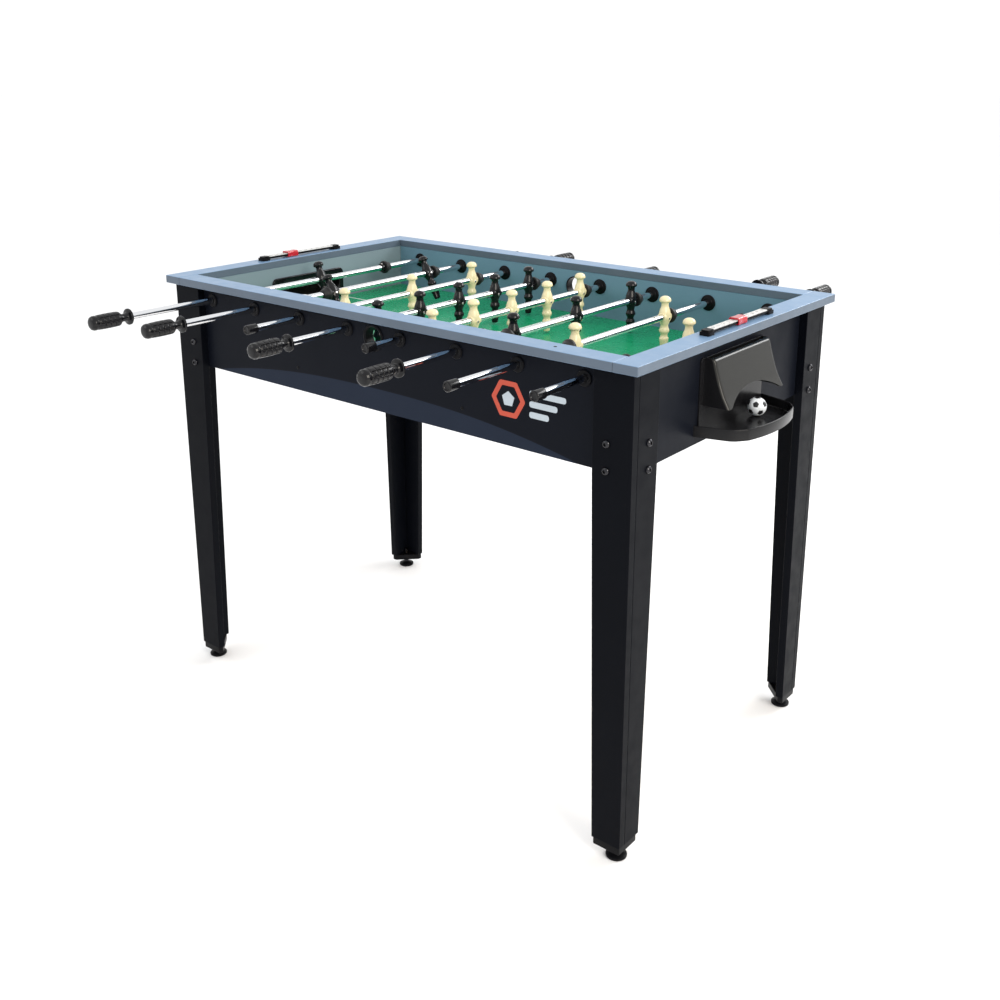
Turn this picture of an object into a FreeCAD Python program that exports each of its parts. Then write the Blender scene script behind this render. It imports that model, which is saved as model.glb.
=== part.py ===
import FreeCAD
import Part
import Sketcher
import os

# Foosball table: cabinet on four legs, eight player rods, ball returns and scorers.
# Millimetres. +Z is up, X runs along the pitch, Y along the rods, origin on the floor
# under the middle of the cabinet.

DIMS = {
    "rimLength": 1100, "rimWidth": 660, "rimTop": 835,
    "railThick": 15, "railWidth": 43,
    "panelThick": 15, "panelBottom": 657,
    "fieldTop": 730, "fieldThick": 8,
    "battenWidth": 18, "battenHeight": 12, "battenTop": 722,
    "goalHalf": 95, "goalTop": 792, "goalWall": 6, "goalLip": 4, "goalLipEdge": 5,
    "legBoard": 15, "legWidth": 70, "legBottom": 32, "legFootFront": 54, "legFootEnd": 56,
    "capHeight": 13, "capInset": 1.5, "capSide": 51, "capEdge": 10,
    "feetX": 517.5, "feetY": 294.5, "padRadius": 17.5, "padEdge": 5, "padTop": 9,
    "stemRadius": 4, "stemTop": 45,
    "boltIn": 45, "boltLow": 664, "boltHigh": 706, "boltRadius": 3, "boltLength": 38,
    "boltHead": 6.5, "boltDome": 4.5,
    "rodPitch": 126, "rodHeight": 794, "rodRadius": 6.35, "rodWall": 1.2, "runGap": 0.05,
    "bushRadius": 11, "bushInner": 15.5, "bushInnerThick": 5,
    "bushOuter": 13, "bushOuterThick": 3,
    "entryHeight": 787, "entryBore": 18.5, "entryRadius": 20, "entryInner": 21,
    "entryOuter": 24, "entryLip": 3,
    "capReachOne": 423, "capReachTwo": 455, "capReachThree": 417, "capReachFive": 382,
    "handleExtra": 125, "handleLength": 80, "handleSeat": 60,
    "flangeRadius": 15, "flangeThick": 4, "neckRadius": 7.8, "neckEnd": 22,
    "gripRadius": 13.8, "gripStart": 29,
    "tipRadius": 8.5, "tipLength": 22, "tipSeat": 15,
    "manPitchTwo": 280, "manPitchThree": 183, "manPitchFive": 109.5,
    "manHead": 38.7, "manFoot": 60, "manHalf": 12,
    "bumperGap": 0.3, "bumperLength": 18, "bumperLarge": 14, "bumperSmall": 9,
    "stopReach": 202, "stopLength": 8, "stopRadius": 9,
    "shiftOne": -20, "shiftTwo": 36, "shiftThree": -7, "shiftFour": -9,
    "shiftFive": -3, "shiftSix": 27, "shiftSeven": -12, "shiftEight": -3,
    "leanOne": 17, "leanTwo": 28,
    "returnHalf": 106, "returnTop": 797, "returnSkin": 3,
    "trayBottom": 670, "trayTop": 690, "trayFloor": 4, "trayBack": 117,
    "trayCheekX": 583, "trayCheekY": 100, "trayCornerX": 599, "trayCornerY": 78, "trayFront": 611,
    "hoodHalf": 95, "hoodBottom": 719, "hoodFoot": 571, "hoodHead": 541,
    "archRadius": 165, "archTop": 742,
    "scorerX": 528.5, "scorerHalf": 110, "scorerBlock": 20, "scorerWidth": 18,
    "scorerHeight": 9, "barWidth": 14, "barHeight": 6, "barLift": 3,
    "sliderLength": 28, "sliderWidth": 19, "sliderTop": 12.5, "sliderGap": 0.4,
    "ballRadius": 16, "ballFieldX": 30, "ballFieldY": -50, "ballTrayX": 551, "ballTrayY": 41,
}

doc = FreeCAD.newDocument("FoosballTable")
sheet = doc.addObject("Spreadsheet::Sheet", "Dims")
for row, (alias, number) in enumerate(DIMS.items(), start=1):
    sheet.set(f"A{row}", alias)
    sheet.set(f"B{row}", str(number))
    sheet.setAlias(f"B{row}", alias)
doc.recompute()

V = FreeCAD.Vector
TURN_X = FreeCAD.Rotation(V(0, 1, 0), 90)
TURN_BACK = FreeCAD.Rotation(V(1, 0, 0), -90)
TURN_FRONT = FreeCAD.Rotation(V(1, 0, 0), 90)
TURN_LEFT = FreeCAD.Rotation(V(0, 1, 0), -90)
HALF_TURN = FreeCAD.Rotation(V(0, 0, 1), 180)
UPRIGHT = FreeCAD.Rotation()


class Size:
    """A length from the sheet: its number now, and the expression that keeps it bound."""

    def __init__(self, number, text):
        self.number = number
        self.text = text

    def join(self, other, sign, number):
        text = other.text if isinstance(other, Size) else str(other)
        return Size(number, f"({self.text} {sign} {text})")

    def __add__(self, other):
        return self.join(other, "+", self.number + value_of(other))

    def __sub__(self, other):
        return self.join(other, "-", self.number - value_of(other))

    def __mul__(self, other):
        return self.join(other, "*", self.number * value_of(other))

    def __truediv__(self, other):
        return self.join(other, "/", self.number / value_of(other))

    def __neg__(self):
        return self * -1


def value_of(size):
    return size.number if isinstance(size, Size) else size


def dim(alias):
    return Size(float(sheet.get(alias)), f"Dims.{alias}")


ZERO = Size(0.0, "0")


def bind(thing, prop, size):
    thing.setExpression(prop, size.text if isinstance(size, Size) else str(size))


def place(thing, position, rotation=UPRIGHT):
    thing.Placement = FreeCAD.Placement(V(*[value_of(p) for p in position]), rotation)
    for letter, size in zip("xyz", position):
        bind(thing, f"Placement.Base.{letter}", size)
    return thing


def box(name, corner, sizes):
    thing = doc.addObject("Part::Box", name)
    for prop, size in zip(("Length", "Width", "Height"), sizes):
        bind(thing, prop, size)
    return place(thing, corner)


def cylinder(name, start, radius, length, rotation=UPRIGHT):
    thing = doc.addObject("Part::Cylinder", name)
    bind(thing, "Radius", radius)
    bind(thing, "Height", length)
    return place(thing, start, rotation)


def cut(name, base, tool):
    thing = doc.addObject("Part::Cut", name)
    thing.Base = base
    thing.Tool = tool
    return thing


def fuse(name, parts):
    thing = doc.addObject("Part::MultiFuse", name)
    thing.Shapes = parts
    return thing


def group(name, parts):
    thing = doc.addObject("Part::Compound", name)
    thing.Links = parts
    return thing


def copy_of(name, template, position, rotation=UPRIGHT):
    thing = doc.addObject("App::Link", name)
    thing.LinkedObject = template
    return place(thing, position, rotation)


def pin_vertex(sketch, index, corner):
    """Fixes one corner of an outline at its sheet-driven place."""
    for axis, letter, size in zip(("DistanceX", "DistanceY"), "xy", corner):
        number = value_of(size)
        if number == 0:
            line = -2 if letter == "x" else -1
            sketch.addConstraint(Sketcher.Constraint("PointOnObject", index, 1, line))
            continue
        ends = (-1, 1, index, 1) if number > 0 else (index, 1, -1, 1)
        made = sketch.addConstraint(Sketcher.Constraint(axis, *ends, abs(number)))
        sketch.renameConstraint(made, f"{letter}{index}")
        if isinstance(size, Size):
            sketch.setExpression(f"Constraints.{letter}{index}", (size if number > 0 else -size).text)


def outline(body, name, role, corners, arc=None, offset=ZERO):
    """A closed sketch through corners; arc is (index of its first corner, point on it, radius)."""
    sketch = body.newObject("Sketcher::SketchObject", name)
    support = next(f for f in body.Origin.OriginFeatures if f.Role == role)
    sketch.AttachmentSupport = (support, [""])
    sketch.MapMode = "FlatFace"
    sketch.AttachmentOffset = FreeCAD.Placement(V(0, 0, value_of(offset)), UPRIGHT)
    bind(sketch, "AttachmentOffset.Base.z", offset)
    points = [V(value_of(a), value_of(b), 0) for a, b in corners]
    count = len(points)
    for i, start in enumerate(points):
        end = points[(i + 1) % count]
        if arc and arc[0] == i:
            middle = V(value_of(arc[1][0]), value_of(arc[1][1]), 0)
            sketch.addGeometry(Part.Arc(start, middle, end), False)
        else:
            sketch.addGeometry(Part.LineSegment(start, end), False)
    for i in range(count):
        sketch.addConstraint(Sketcher.Constraint("Coincident", i, 2, (i + 1) % count, 1))
    for i, corner in enumerate(corners):
        pin_vertex(sketch, i, corner)
    if arc:
        made = sketch.addConstraint(Sketcher.Constraint("Radius", arc[0], value_of(arc[2])))
        sketch.renameConstraint(made, "arcRadius")
        sketch.setExpression("Constraints.arcRadius", arc[2].text)
    return sketch


def slab(name, role, corners, offset, thickness, arc=None):
    """A flat piece padded from a closed outline, starting at offset along the plane's normal."""
    body = doc.addObject("PartDesign::Body", name)
    sketch = outline(body, f"{name}_outline", role, corners, arc, offset)
    pad = body.newObject("PartDesign::Pad", f"{name}_pad")
    pad.Profile = sketch
    bind(pad, "Length", thickness)
    sketch.Visibility = False
    return body


def turned(name, corners):
    """A piece turned about +Z from a (radius, height) outline."""
    body = doc.addObject("PartDesign::Body", name)
    sketch = outline(body, f"{name}_outline", "XZ_Plane", corners)
    turn = body.newObject("PartDesign::Revolution", f"{name}_turn")
    turn.Profile = sketch
    turn.ReferenceAxis = (sketch, ["V_Axis"])
    turn.Angle = 360
    sketch.Visibility = False
    return body


nodes = []


def node(label, thing):
    thing.Label = label
    nodes.append(thing)
    return thing


# Cabinet sizes that several pieces share
rim_x = dim("rimLength") / 2
rim_y = dim("rimWidth") / 2
wall_x = rim_x - dim("railWidth")
wall_y = rim_y - dim("railWidth")
thick = dim("panelThick")
skin_x = wall_x + thick
skin_y = wall_y + thick
panel_top = dim("rimTop") - dim("railThick")
panel_low = dim("panelBottom")
panel_high = panel_top - panel_low
rod_z = dim("rodHeight")
rod_radius = dim("rodRadius")


def rod_x(number):
    return dim("rodPitch") * (number - 4.5)


# Carriage bolts: two through each leg board into the panel behind it
bolt_x = skin_x + dim("legBoard") - dim("boltIn")
bolt_y = skin_y + dim("legBoard") - dim("boltIn")
bolt_spots = []
for sx in (-1, 1):
    for sy in (-1, 1):
        for height in (dim("boltLow"), dim("boltHigh")):
            face_y = (skin_y + dim("legBoard")) * sy
            bolt_spots.append(((bolt_x * sx, face_y, height), TURN_FRONT if sy < 0 else TURN_BACK))
            face_x = (skin_x + dim("legBoard")) * sx
            bolt_spots.append(((face_x, bolt_y * sy, height), TURN_LEFT if sx < 0 else TURN_X))

dome = dim("boltDome")
head = dim("boltHead")
bolt = turned("bolt_pattern", [
    (ZERO, -dim("boltLength")), (dim("boltRadius"), -dim("boltLength")),
    (dim("boltRadius"), ZERO), (head, ZERO), (head * 0.92, dome * 0.45),
    (head * 0.7, dome * 0.8), (head * 0.36, dome), (ZERO, dome),
])
shank = turned("bolt_shank", [
    (ZERO, -dim("boltLength")), (dim("boltRadius"), -dim("boltLength")),
    (dim("boltRadius"), ZERO), (ZERO, ZERO),
])
shanks = group("shank_space", [
    copy_of(f"shank_{i}", shank, spot, turn) for i, (spot, turn) in enumerate(bolt_spots)
])
node("leg_bolts", group("leg_bolt_set", [
    copy_of(f"bolt_{i}", bolt, spot, turn) for i, (spot, turn) in enumerate(bolt_spots)
]))


# Long panels, drilled for the rods, the ball entry and the bolts
def long_panel(label, sy):
    low_y = -skin_y if sy < 0 else wall_y
    board = box(f"{label}_board", (-skin_x, low_y, panel_low), (skin_x * 2, thick, panel_high))
    drills = [
        cylinder(f"{label}_drill_{n}", (rod_x(n), low_y, rod_z), dim("bushRadius"), thick, TURN_BACK)
        for n in range(1, 9)
    ]
    entry = (ZERO, low_y, dim("entryHeight"))
    drills.append(cylinder(f"{label}_entry", entry, dim("entryRadius"), thick, TURN_BACK))
    drilled = cut(f"{label}_drilled", board, group(f"{label}_drills", drills))
    return node(label, cut(f"{label}_cut", drilled, shanks))


# End panels, with the goal opening down to the playfield
def end_panel(label, sx):
    low_x = -skin_x if sx < 0 else wall_x
    board = box(f"{label}_board", (low_x, -wall_y, panel_low), (thick, wall_y * 2, panel_high))
    mouth = box(
        f"{label}_mouth", (low_x, -dim("goalHalf"), dim("fieldTop")),
        (thick, dim("goalHalf") * 2, dim("goalTop") - dim("fieldTop")),
    )
    opened = cut(f"{label}_opened", board, mouth)
    return node(label, cut(f"{label}_cut", opened, shanks))


long_panel("panel_front", -1)
long_panel("panel_back", 1)
end_panel("panel_left", -1)
end_panel("panel_right", 1)

# Top rails: two full-width end rails with the long rails butted between them
rail_w = dim("railWidth")
rail_t = dim("railThick")
node("top_rails", group("top_rail_set", [
    box("rail_left", (-rim_x, -rim_y, panel_top), (rail_w, rim_y * 2, rail_t)),
    box("rail_right", (wall_x, -rim_y, panel_top), (rail_w, rim_y * 2, rail_t)),
    box("rail_front", (-wall_x, -rim_y, panel_top), (wall_x * 2, rail_w, rail_t)),
    box("rail_back", (-wall_x, wall_y, panel_top), (wall_x * 2, rail_w, rail_t)),
]))

# Playfield board on battens
field_t = dim("fieldThick")
node("playfield", box(
    "playfield_board", (-wall_x, -wall_y, dim("fieldTop") - field_t), (wall_x * 2, wall_y * 2, field_t),
))
bat = dim("battenWidth")
bat_h = dim("battenHeight")
bat_z = dim("battenTop") - bat_h
node("field_battens", group("batten_set", [
    box("batten_front", (-wall_x, -wall_y, bat_z), (wall_x * 2, bat, bat_h)),
    box("batten_back", (-wall_x, wall_y - bat, bat_z), (wall_x * 2, bat, bat_h)),
    box("batten_left", (-wall_x, bat - wall_y, bat_z), (bat, (wall_y - bat) * 2, bat_h)),
    box("batten_right", (wall_x - bat, bat - wall_y, bat_z), (bat, (wall_y - bat) * 2, bat_h)),
]))


# Legs: two tapered boards folded to an L, bolted outside the panels
def leg(label, sx, sy):
    edge_x = skin_x + dim("legBoard")
    edge_y = skin_y + dim("legBoard")
    low = dim("legBottom")
    width = dim("legWidth")
    front = [
        (edge_x, low), (edge_x, panel_top), (edge_x - width, panel_top),
        (edge_x - width, panel_low), (edge_x - dim("legFootFront"), low),
    ]
    side = [
        (edge_y, low), (edge_y, panel_top), (edge_y - width, panel_top),
        (edge_y - width, panel_low), (edge_y - dim("legFootEnd"), low),
    ]
    front_offset = skin_y if sy < 0 else -edge_y
    side_offset = skin_x if sx > 0 else -edge_x
    boards = fuse(f"{label}_boards", [
        slab(f"{label}_face", "XZ_Plane", [(a * sx, b) for a, b in front], front_offset, dim("legBoard")),
        slab(f"{label}_side", "YZ_Plane", [(a * sy, b) for a, b in side], side_offset, dim("legBoard")),
    ])
    return node(label, cut(f"{label}_cut", boards, shanks))


corners = [("front_left", -1, -1), ("front_right", 1, -1), ("back_left", -1, 1), ("back_right", 1, 1)]
for where, sx, sy in corners:
    leg(f"leg_{where}", sx, sy)

# Plastic leg ends: a three-cornered block in each L, with a guide for the leveller stem
inset = dim("capInset")
cap_side = dim("capSide")
cap_edge = dim("capEdge")
cap_z = dim("legBottom") - dim("capHeight")
cap_x = skin_x + dim("legBoard") - inset
cap_y = skin_y + dim("legBoard") - inset
leg_caps = []
for where, sx, sy in corners:
    block = slab(f"cap_block_{where}", "XY_Plane", [
        (cap_x * sx, cap_y * sy), (cap_x * sx, (cap_y - cap_side) * sy),
        ((cap_x - cap_edge) * sx, (cap_y - cap_side) * sy),
        ((cap_x - cap_side) * sx, (cap_y - cap_edge) * sy), ((cap_x - cap_side) * sx, cap_y * sy),
    ], cap_z, dim("capHeight"))
    guide = cylinder(
        f"cap_guide_{where}", (dim("feetX") * sx, dim("feetY") * sy, cap_z),
        dim("stemRadius") + dim("runGap"), dim("capHeight"),
    )
    leg_caps.append(cut(f"cap_{where}", block, guide))
node("leg_caps", group("leg_cap_set", leg_caps))

pad = dim("padRadius")
leveller = turned("leveller_pattern", [
    (ZERO, ZERO), (pad - 1.5, ZERO), (pad, dim("padEdge") * 0.3), (pad, dim("padEdge")),
    (pad * 0.45, dim("padTop")), (dim("stemRadius"), dim("padTop")),
    (dim("stemRadius"), dim("stemTop")), (ZERO, dim("stemTop")),
])
for where, sx, sy in corners:
    spot = (dim("feetX") * sx, dim("feetY") * sy, ZERO)
    node(f"leveller_{where}", group(f"leveller_{where}_set", [
        copy_of(f"leveller_{where}_copy", leveller, spot),
    ]))


# Goal frames: a lip on the pitch side and a liner through the end panel
def goal_frame(name, sx):
    half = dim("goalHalf")
    wall = dim("goalWall")
    base = dim("fieldTop")
    high = dim("goalTop") - base
    lip = dim("goalLip")
    edge = dim("goalLipEdge")
    liner_x = wall_x if sx > 0 else -skin_x
    lip_x = wall_x - lip if sx > 0 else -wall_x
    mouth_x = wall_x - lip if sx > 0 else -skin_x
    outer = fuse(f"{name}_outer", [
        box(f"{name}_liner", (liner_x, -half, base), (thick, half * 2, high)),
        box(f"{name}_lip", (lip_x, -half - edge, base), (lip, (half + edge) * 2, high + edge)),
    ])
    mouth = box(f"{name}_mouth", (mouth_x, wall - half, base), (thick + lip, (half - wall) * 2, high - wall))
    return cut(name, outer, mouth)


node("goal_frames", group("goal_frame_set", [goal_frame("goal_left", -1), goal_frame("goal_right", 1)]))

# Ball return: moulded back plate with a bowed tray, and a curved hood over it
skin = dim("returnSkin")
tray_z = dim("trayBottom")
tray_high = dim("trayTop") - tray_z
bow = dim("trayFront") - dim("trayCornerX")
bow_radius = (dim("trayCornerY") * dim("trayCornerY") + bow * bow) / (bow * 2)
tray_outer = slab(
    "tray_outer", "XY_Plane",
    [(skin_x, -dim("trayBack")), (dim("trayCheekX"), -dim("trayCheekY")),
     (dim("trayCornerX"), -dim("trayCornerY")), (dim("trayCornerX"), dim("trayCornerY")),
     (dim("trayCheekX"), dim("trayCheekY")), (skin_x, dim("trayBack"))],
    tray_z, tray_high, (2, (dim("trayFront"), ZERO), bow_radius),
)
inner_bow = bow_radius - skin
cheek_in, cheek_up = skin * 0.6, skin * 0.87
corner_in, corner_up = skin * 0.9, skin * 0.46
tray_inner = slab(
    "tray_inner", "XY_Plane",
    [(skin_x + skin, skin * 1.3 - dim("trayBack")), (dim("trayCheekX") - cheek_in, cheek_up - dim("trayCheekY")),
     (dim("trayCornerX") - corner_in, corner_up - dim("trayCornerY")),
     (dim("trayCornerX") - corner_in, dim("trayCornerY") - corner_up),
     (dim("trayCheekX") - cheek_in, dim("trayCheekY") - cheek_up), (skin_x + skin, dim("trayBack") - skin * 1.3)],
    tray_z + dim("trayFloor"), tray_high, (2, (dim("trayFront") - skin, ZERO), inner_bow),
)
plate_low = tray_z + dim("trayFloor")
plate = box(
    "return_plate", (skin_x, -dim("returnHalf"), plate_low),
    (skin, dim("returnHalf") * 2, dim("returnTop") - plate_low),
)
opening = dim("goalHalf") - dim("goalWall")
plate_mouth = box(
    "return_mouth", (skin_x, -opening, dim("fieldTop")),
    (skin, opening * 2, dim("goalTop") - dim("goalWall") - dim("fieldTop")),
)
tray_right = fuse("tray_right", [
    cut("tray_dish", tray_outer, tray_inner),
    cut("plate_opened", plate, plate_mouth),
])
tray_left = copy_of("tray_left", tray_right, (ZERO, ZERO, ZERO), HALF_TURN)
node("return_trays", group("return_tray_set", [tray_right, tray_left]))

hood_start = skin_x + skin
hood_low = dim("hoodBottom")
hood_high = dim("returnTop")
hood_rise = hood_high - hood_low
hood_run = dim("hoodFoot") - dim("hoodHead")
hood_face = [
    (dim("hoodFoot"), hood_low), (dim("hoodFoot") - hood_run * 0.37, hood_low + hood_rise * 0.27),
    (dim("hoodFoot") - hood_run * 0.62, hood_low + hood_rise * 0.53),
    (dim("hoodFoot") - hood_run * 0.82, hood_low + hood_rise * 0.78), (dim("hoodHead"), hood_high),
]
hood_outer = slab(
    "hood_outer", "XZ_Plane", [(hood_start, hood_low)] + hood_face + [(hood_start, hood_high)],
    -dim("hoodHalf"), dim("hoodHalf") * 2,
)
hood_inner = slab(
    "hood_inner", "XZ_Plane",
    [(hood_start, hood_low - 2)] + [(dim("hoodFoot") - skin, hood_low - 2)]
    + [(a - skin, b) for a, b in hood_face[1:]]
    + [(dim("hoodHead") - skin, hood_high + 2), (hood_start, hood_high + 2)],
    skin - dim("hoodHalf"), (dim("hoodHalf") - skin) * 2,
)
arch = cylinder(
    "hood_arch", (dim("hoodHead"), ZERO, dim("archTop") - dim("archRadius")),
    dim("archRadius"), dim("rodPitch"), TURN_X,
)
hood_right = cut("hood_right", cut("hood_shell", hood_outer, hood_inner), arch)
hood_left = copy_of("hood_left", hood_right, (ZERO, ZERO, ZERO), HALF_TURN)
node("return_hoods", group("return_hood_set", [hood_right, hood_left]))

# Scorers: a bar lifted off the end rail by two blocks, and a marker that slides on it
bar_z = dim("rimTop") + dim("barLift")
scorer_y = dim("scorerHalf")
scorer_w = dim("scorerWidth")
block_y = dim("scorerBlock")
gap = dim("sliderGap")
scorer_bars = []
for side, sx in (("left", -1), ("right", 1)):
    mid_x = dim("scorerX") * sx
    scorer_bars.append(fuse(f"scorer_{side}", [
        box(f"scorer_{side}_near", (mid_x - scorer_w / 2, -scorer_y, dim("rimTop")),
            (scorer_w, block_y, dim("scorerHeight"))),
        box(f"scorer_{side}_far", (mid_x - scorer_w / 2, scorer_y - block_y, dim("rimTop")),
            (scorer_w, block_y, dim("scorerHeight"))),
        box(f"scorer_{side}_bar", (mid_x - dim("barWidth") / 2, block_y / 2 - scorer_y, bar_z),
            (dim("barWidth"), scorer_y * 2 - block_y, dim("barHeight"))),
    ]))
    slide_low = dim("rimTop") + 1
    slide_y = dim("sliderLength") / -2 if sx > 0 else dim("sliderLength") / -2 - 28
    shell = box(f"slider_{side}_block", (mid_x - dim("sliderWidth") / 2, slide_y, slide_low),
                (dim("sliderWidth"), dim("sliderLength"), dim("sliderTop") - 1))
    slot = box(f"slider_{side}_slot", (mid_x - dim("barWidth") / 2 - gap, slide_y, bar_z - gap),
               (dim("barWidth") + gap * 2, dim("sliderLength"), dim("barHeight") + gap * 2))
    node(f"score_slider_{side}", cut(f"slider_{side}", shell, slot))
node("scorer_bars", group("scorer_bar_set", scorer_bars))

# Rod bushings: a flange on each face of the panel and a barrel between them
bore = rod_radius + dim("runGap")
inner_t = dim("bushInnerThick")
outer_t = dim("bushOuterThick")
bushing = turned("bushing_pattern", [
    (bore, -inner_t), (dim("bushInner") * 0.9, -inner_t), (dim("bushInner"), inner_t * -0.6),
    (dim("bushInner"), ZERO), (dim("bushRadius"), ZERO), (dim("bushRadius"), thick),
    (dim("bushOuter"), thick), (dim("bushOuter"), thick + outer_t), (bore, thick + outer_t),
])
bushings = []
for n in range(1, 9):
    bushings.append(copy_of(f"bushing_front_{n}", bushing, (rod_x(n), -wall_y, rod_z), TURN_FRONT))
    bushings.append(copy_of(f"bushing_back_{n}", bushing, (rod_x(n), wall_y, rod_z), TURN_BACK))
node("rod_bushings", group("bushing_set", bushings))

# Ball entry cups in the middle of both long panels
entry_lip = dim("entryLip")
entry = turned("entry_pattern", [
    (dim("entryBore"), -entry_lip), (dim("entryInner"), -entry_lip), (dim("entryInner"), ZERO),
    (dim("entryRadius"), ZERO), (dim("entryRadius"), thick), (dim("entryOuter"), thick),
    (dim("entryOuter"), thick + entry_lip * 0.5), (dim("entryBore") + 2, thick + entry_lip),
    (dim("entryBore"), thick + entry_lip * 0.6),
])
node("ball_entry_cups", group("entry_set", [
    copy_of("entry_front", entry, (ZERO, -wall_y, dim("entryHeight")), TURN_FRONT),
    copy_of("entry_back", entry, (ZERO, wall_y, dim("entryHeight")), TURN_BACK),
]))

# One player figure, with its origin where the rod passes through the chest
figure_head = dim("manHead")
figure_foot = -dim("manFoot")
wide = dim("manHalf")
figure_turned = turned("figure_turned", [
    (ZERO, figure_foot), (wide * 0.58, figure_foot), (wide * 0.85, figure_foot * 0.67),
    (wide * 0.67, figure_foot * 0.62), (wide * 0.58, figure_foot * 0.54),
    (wide * 0.88, figure_foot * 0.44), (wide * 0.7, figure_foot * 0.36),
    (wide * 0.6, figure_foot * 0.28), (wide * 0.96, figure_foot * 0.1),
    (wide, figure_head * 0.12), (wide * 0.88, figure_head * 0.33), (wide * 0.58, figure_head * 0.5),
    (wide * 0.58, figure_head * 0.66), (wide * 0.9, figure_head * 0.74),
    (wide * 0.9, figure_head * 0.84), (wide * 0.55, figure_head * 0.96), (ZERO, figure_head),
])
figure_hole = cylinder("figure_hole", (ZERO, -wide * 1.5, ZERO), rod_radius, wide * 3, TURN_BACK)
figure = cut("figure_pattern", figure_turned, figure_hole)

# Handle, blind end cap, sliding bumper and stop collar, each along +Z from its rod side
seat = dim("handleSeat")
grip = dim("gripRadius")
long = dim("handleLength")
handle = turned("handle_pattern", [
    (rod_radius, ZERO), (dim("flangeRadius"), ZERO), (dim("flangeRadius"), dim("flangeThick")),
    (dim("neckRadius"), dim("flangeThick") + 2), (dim("neckRadius"), dim("neckEnd")),
    (grip * 0.93, dim("gripStart")), (grip, dim("gripStart") + 5), (grip, long - 12),
    (grip * 0.86, long - 5), (grip * 0.5, long - 1), (ZERO, long), (ZERO, seat), (rod_radius, seat),
])
tip_r = dim("tipRadius")
tip_l = dim("tipLength")
tip = turned("tip_pattern", [
    (rod_radius, ZERO), (tip_r, ZERO), (tip_r, tip_l - 1.5), (tip_r - 1.5, tip_l),
    (ZERO, tip_l), (ZERO, dim("tipSeat")), (rod_radius, dim("tipSeat")),
])
bump_l = dim("bumperLength")
bumper = turned("bumper_pattern", [
    (bore, ZERO), (dim("bumperLarge") - 1, ZERO), (dim("bumperLarge"), bump_l * 0.12),
    (dim("bumperLarge"), bump_l * 0.3), (dim("bumperSmall"), bump_l), (bore, bump_l),
])
stop = turned("stop_pattern", [
    (rod_radius, ZERO), (dim("stopRadius"), ZERO), (dim("stopRadius"), dim("stopLength")),
    (rod_radius, dim("stopLength")),
])

# Rods from left to right: reach and shift names, player spread, handle side, lean
TEAMS = [
    ("One", "shiftOne", [0], None, -1, "leanOne"),
    ("Two", "shiftTwo", [-0.5, 0.5], "manPitchTwo", -1, "leanTwo"),
    ("Three", "shiftThree", [-1, 0, 1], "manPitchThree", 1, None),
    ("Five", "shiftFour", [-2, -1, 0, 1, 2], "manPitchFive", -1, None),
    ("Five", "shiftFive", [-2, -1, 0, 1, 2], "manPitchFive", 1, None),
    ("Three", "shiftSix", [-1, 0, 1], "manPitchThree", -1, None),
    ("Two", "shiftSeven", [-0.5, 0.5], "manPitchTwo", 1, None),
    ("One", "shiftEight", [0], None, 1, None),
]
lean_axis = V(0, 1, 0)
for n, (reach_name, shift_name, spread, pitch_name, hand, lean_name) in enumerate(TEAMS, start=1):
    x = rod_x(n)
    shift = dim(shift_name)
    cap_reach = dim(f"capReach{reach_name}")
    hand_reach = cap_reach + dim("handleExtra")
    toward = TURN_BACK if hand > 0 else TURN_FRONT
    away = TURN_FRONT if hand > 0 else TURN_BACK

    # Chrome tube, seated in the handle at one end and the cap at the other
    hand_end = shift + (hand_reach - long + seat) * hand
    cap_end = shift - (cap_reach - tip_l + dim("tipSeat")) * hand
    low_end, length = (cap_end, hand_end - cap_end) if hand > 0 else (hand_end, cap_end - hand_end)
    solid = cylinder(f"rod_{n}_outside", (x, low_end, rod_z), rod_radius, length, TURN_BACK)
    hollow = cylinder(f"rod_{n}_inside", (x, low_end, rod_z), rod_radius - dim("rodWall"), length, TURN_BACK)
    node(f"rod_{n}_tube", cut(f"rod_{n}_wall", solid, hollow))

    # Figures, leaning about the rod where the rod has been left turned
    lean = FreeCAD.Rotation(lean_axis, -value_of(dim(lean_name))) if lean_name else UPRIGHT
    pitch = dim(pitch_name) if pitch_name else ZERO
    figures = [
        copy_of(f"rod_{n}_figure_{i}", figure, (x, shift + pitch * step, rod_z), lean)
        for i, step in enumerate(spread)
    ]
    node(f"rod_{n}_players", group(f"rod_{n}_player_set", figures))

    # Handle and cap, with stop collars where one figure leaves the bumpers unsupported
    grips = [
        copy_of(f"rod_{n}_handle", handle, (x, shift + (hand_reach - long) * hand, rod_z), toward),
        copy_of(f"rod_{n}_tip", tip, (x, shift - (cap_reach - tip_l) * hand, rod_z), away),
    ]
    outer = pitch * spread[-1] + wide + dim("bumperGap")
    if reach_name == "One":
        outer = dim("stopReach") - bump_l
        stop_at = outer - dim("bumperGap") - dim("stopLength")
        grips.append(copy_of(f"rod_{n}_stop_back", stop, (x, shift + stop_at, rod_z), TURN_BACK))
        grips.append(copy_of(f"rod_{n}_stop_front", stop, (x, shift - stop_at, rod_z), TURN_FRONT))
    node(f"rod_{n}_grips", group(f"rod_{n}_grip_set", grips))

    # Rubber bumpers between the outer figures and the bushings
    node(f"rod_{n}_bumpers", group(f"rod_{n}_bumper_set", [
        copy_of(f"rod_{n}_bumper_back", bumper, (x, shift + outer, rod_z), TURN_BACK),
        copy_of(f"rod_{n}_bumper_front", bumper, (x, shift - outer, rod_z), TURN_FRONT),
    ]))

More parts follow.
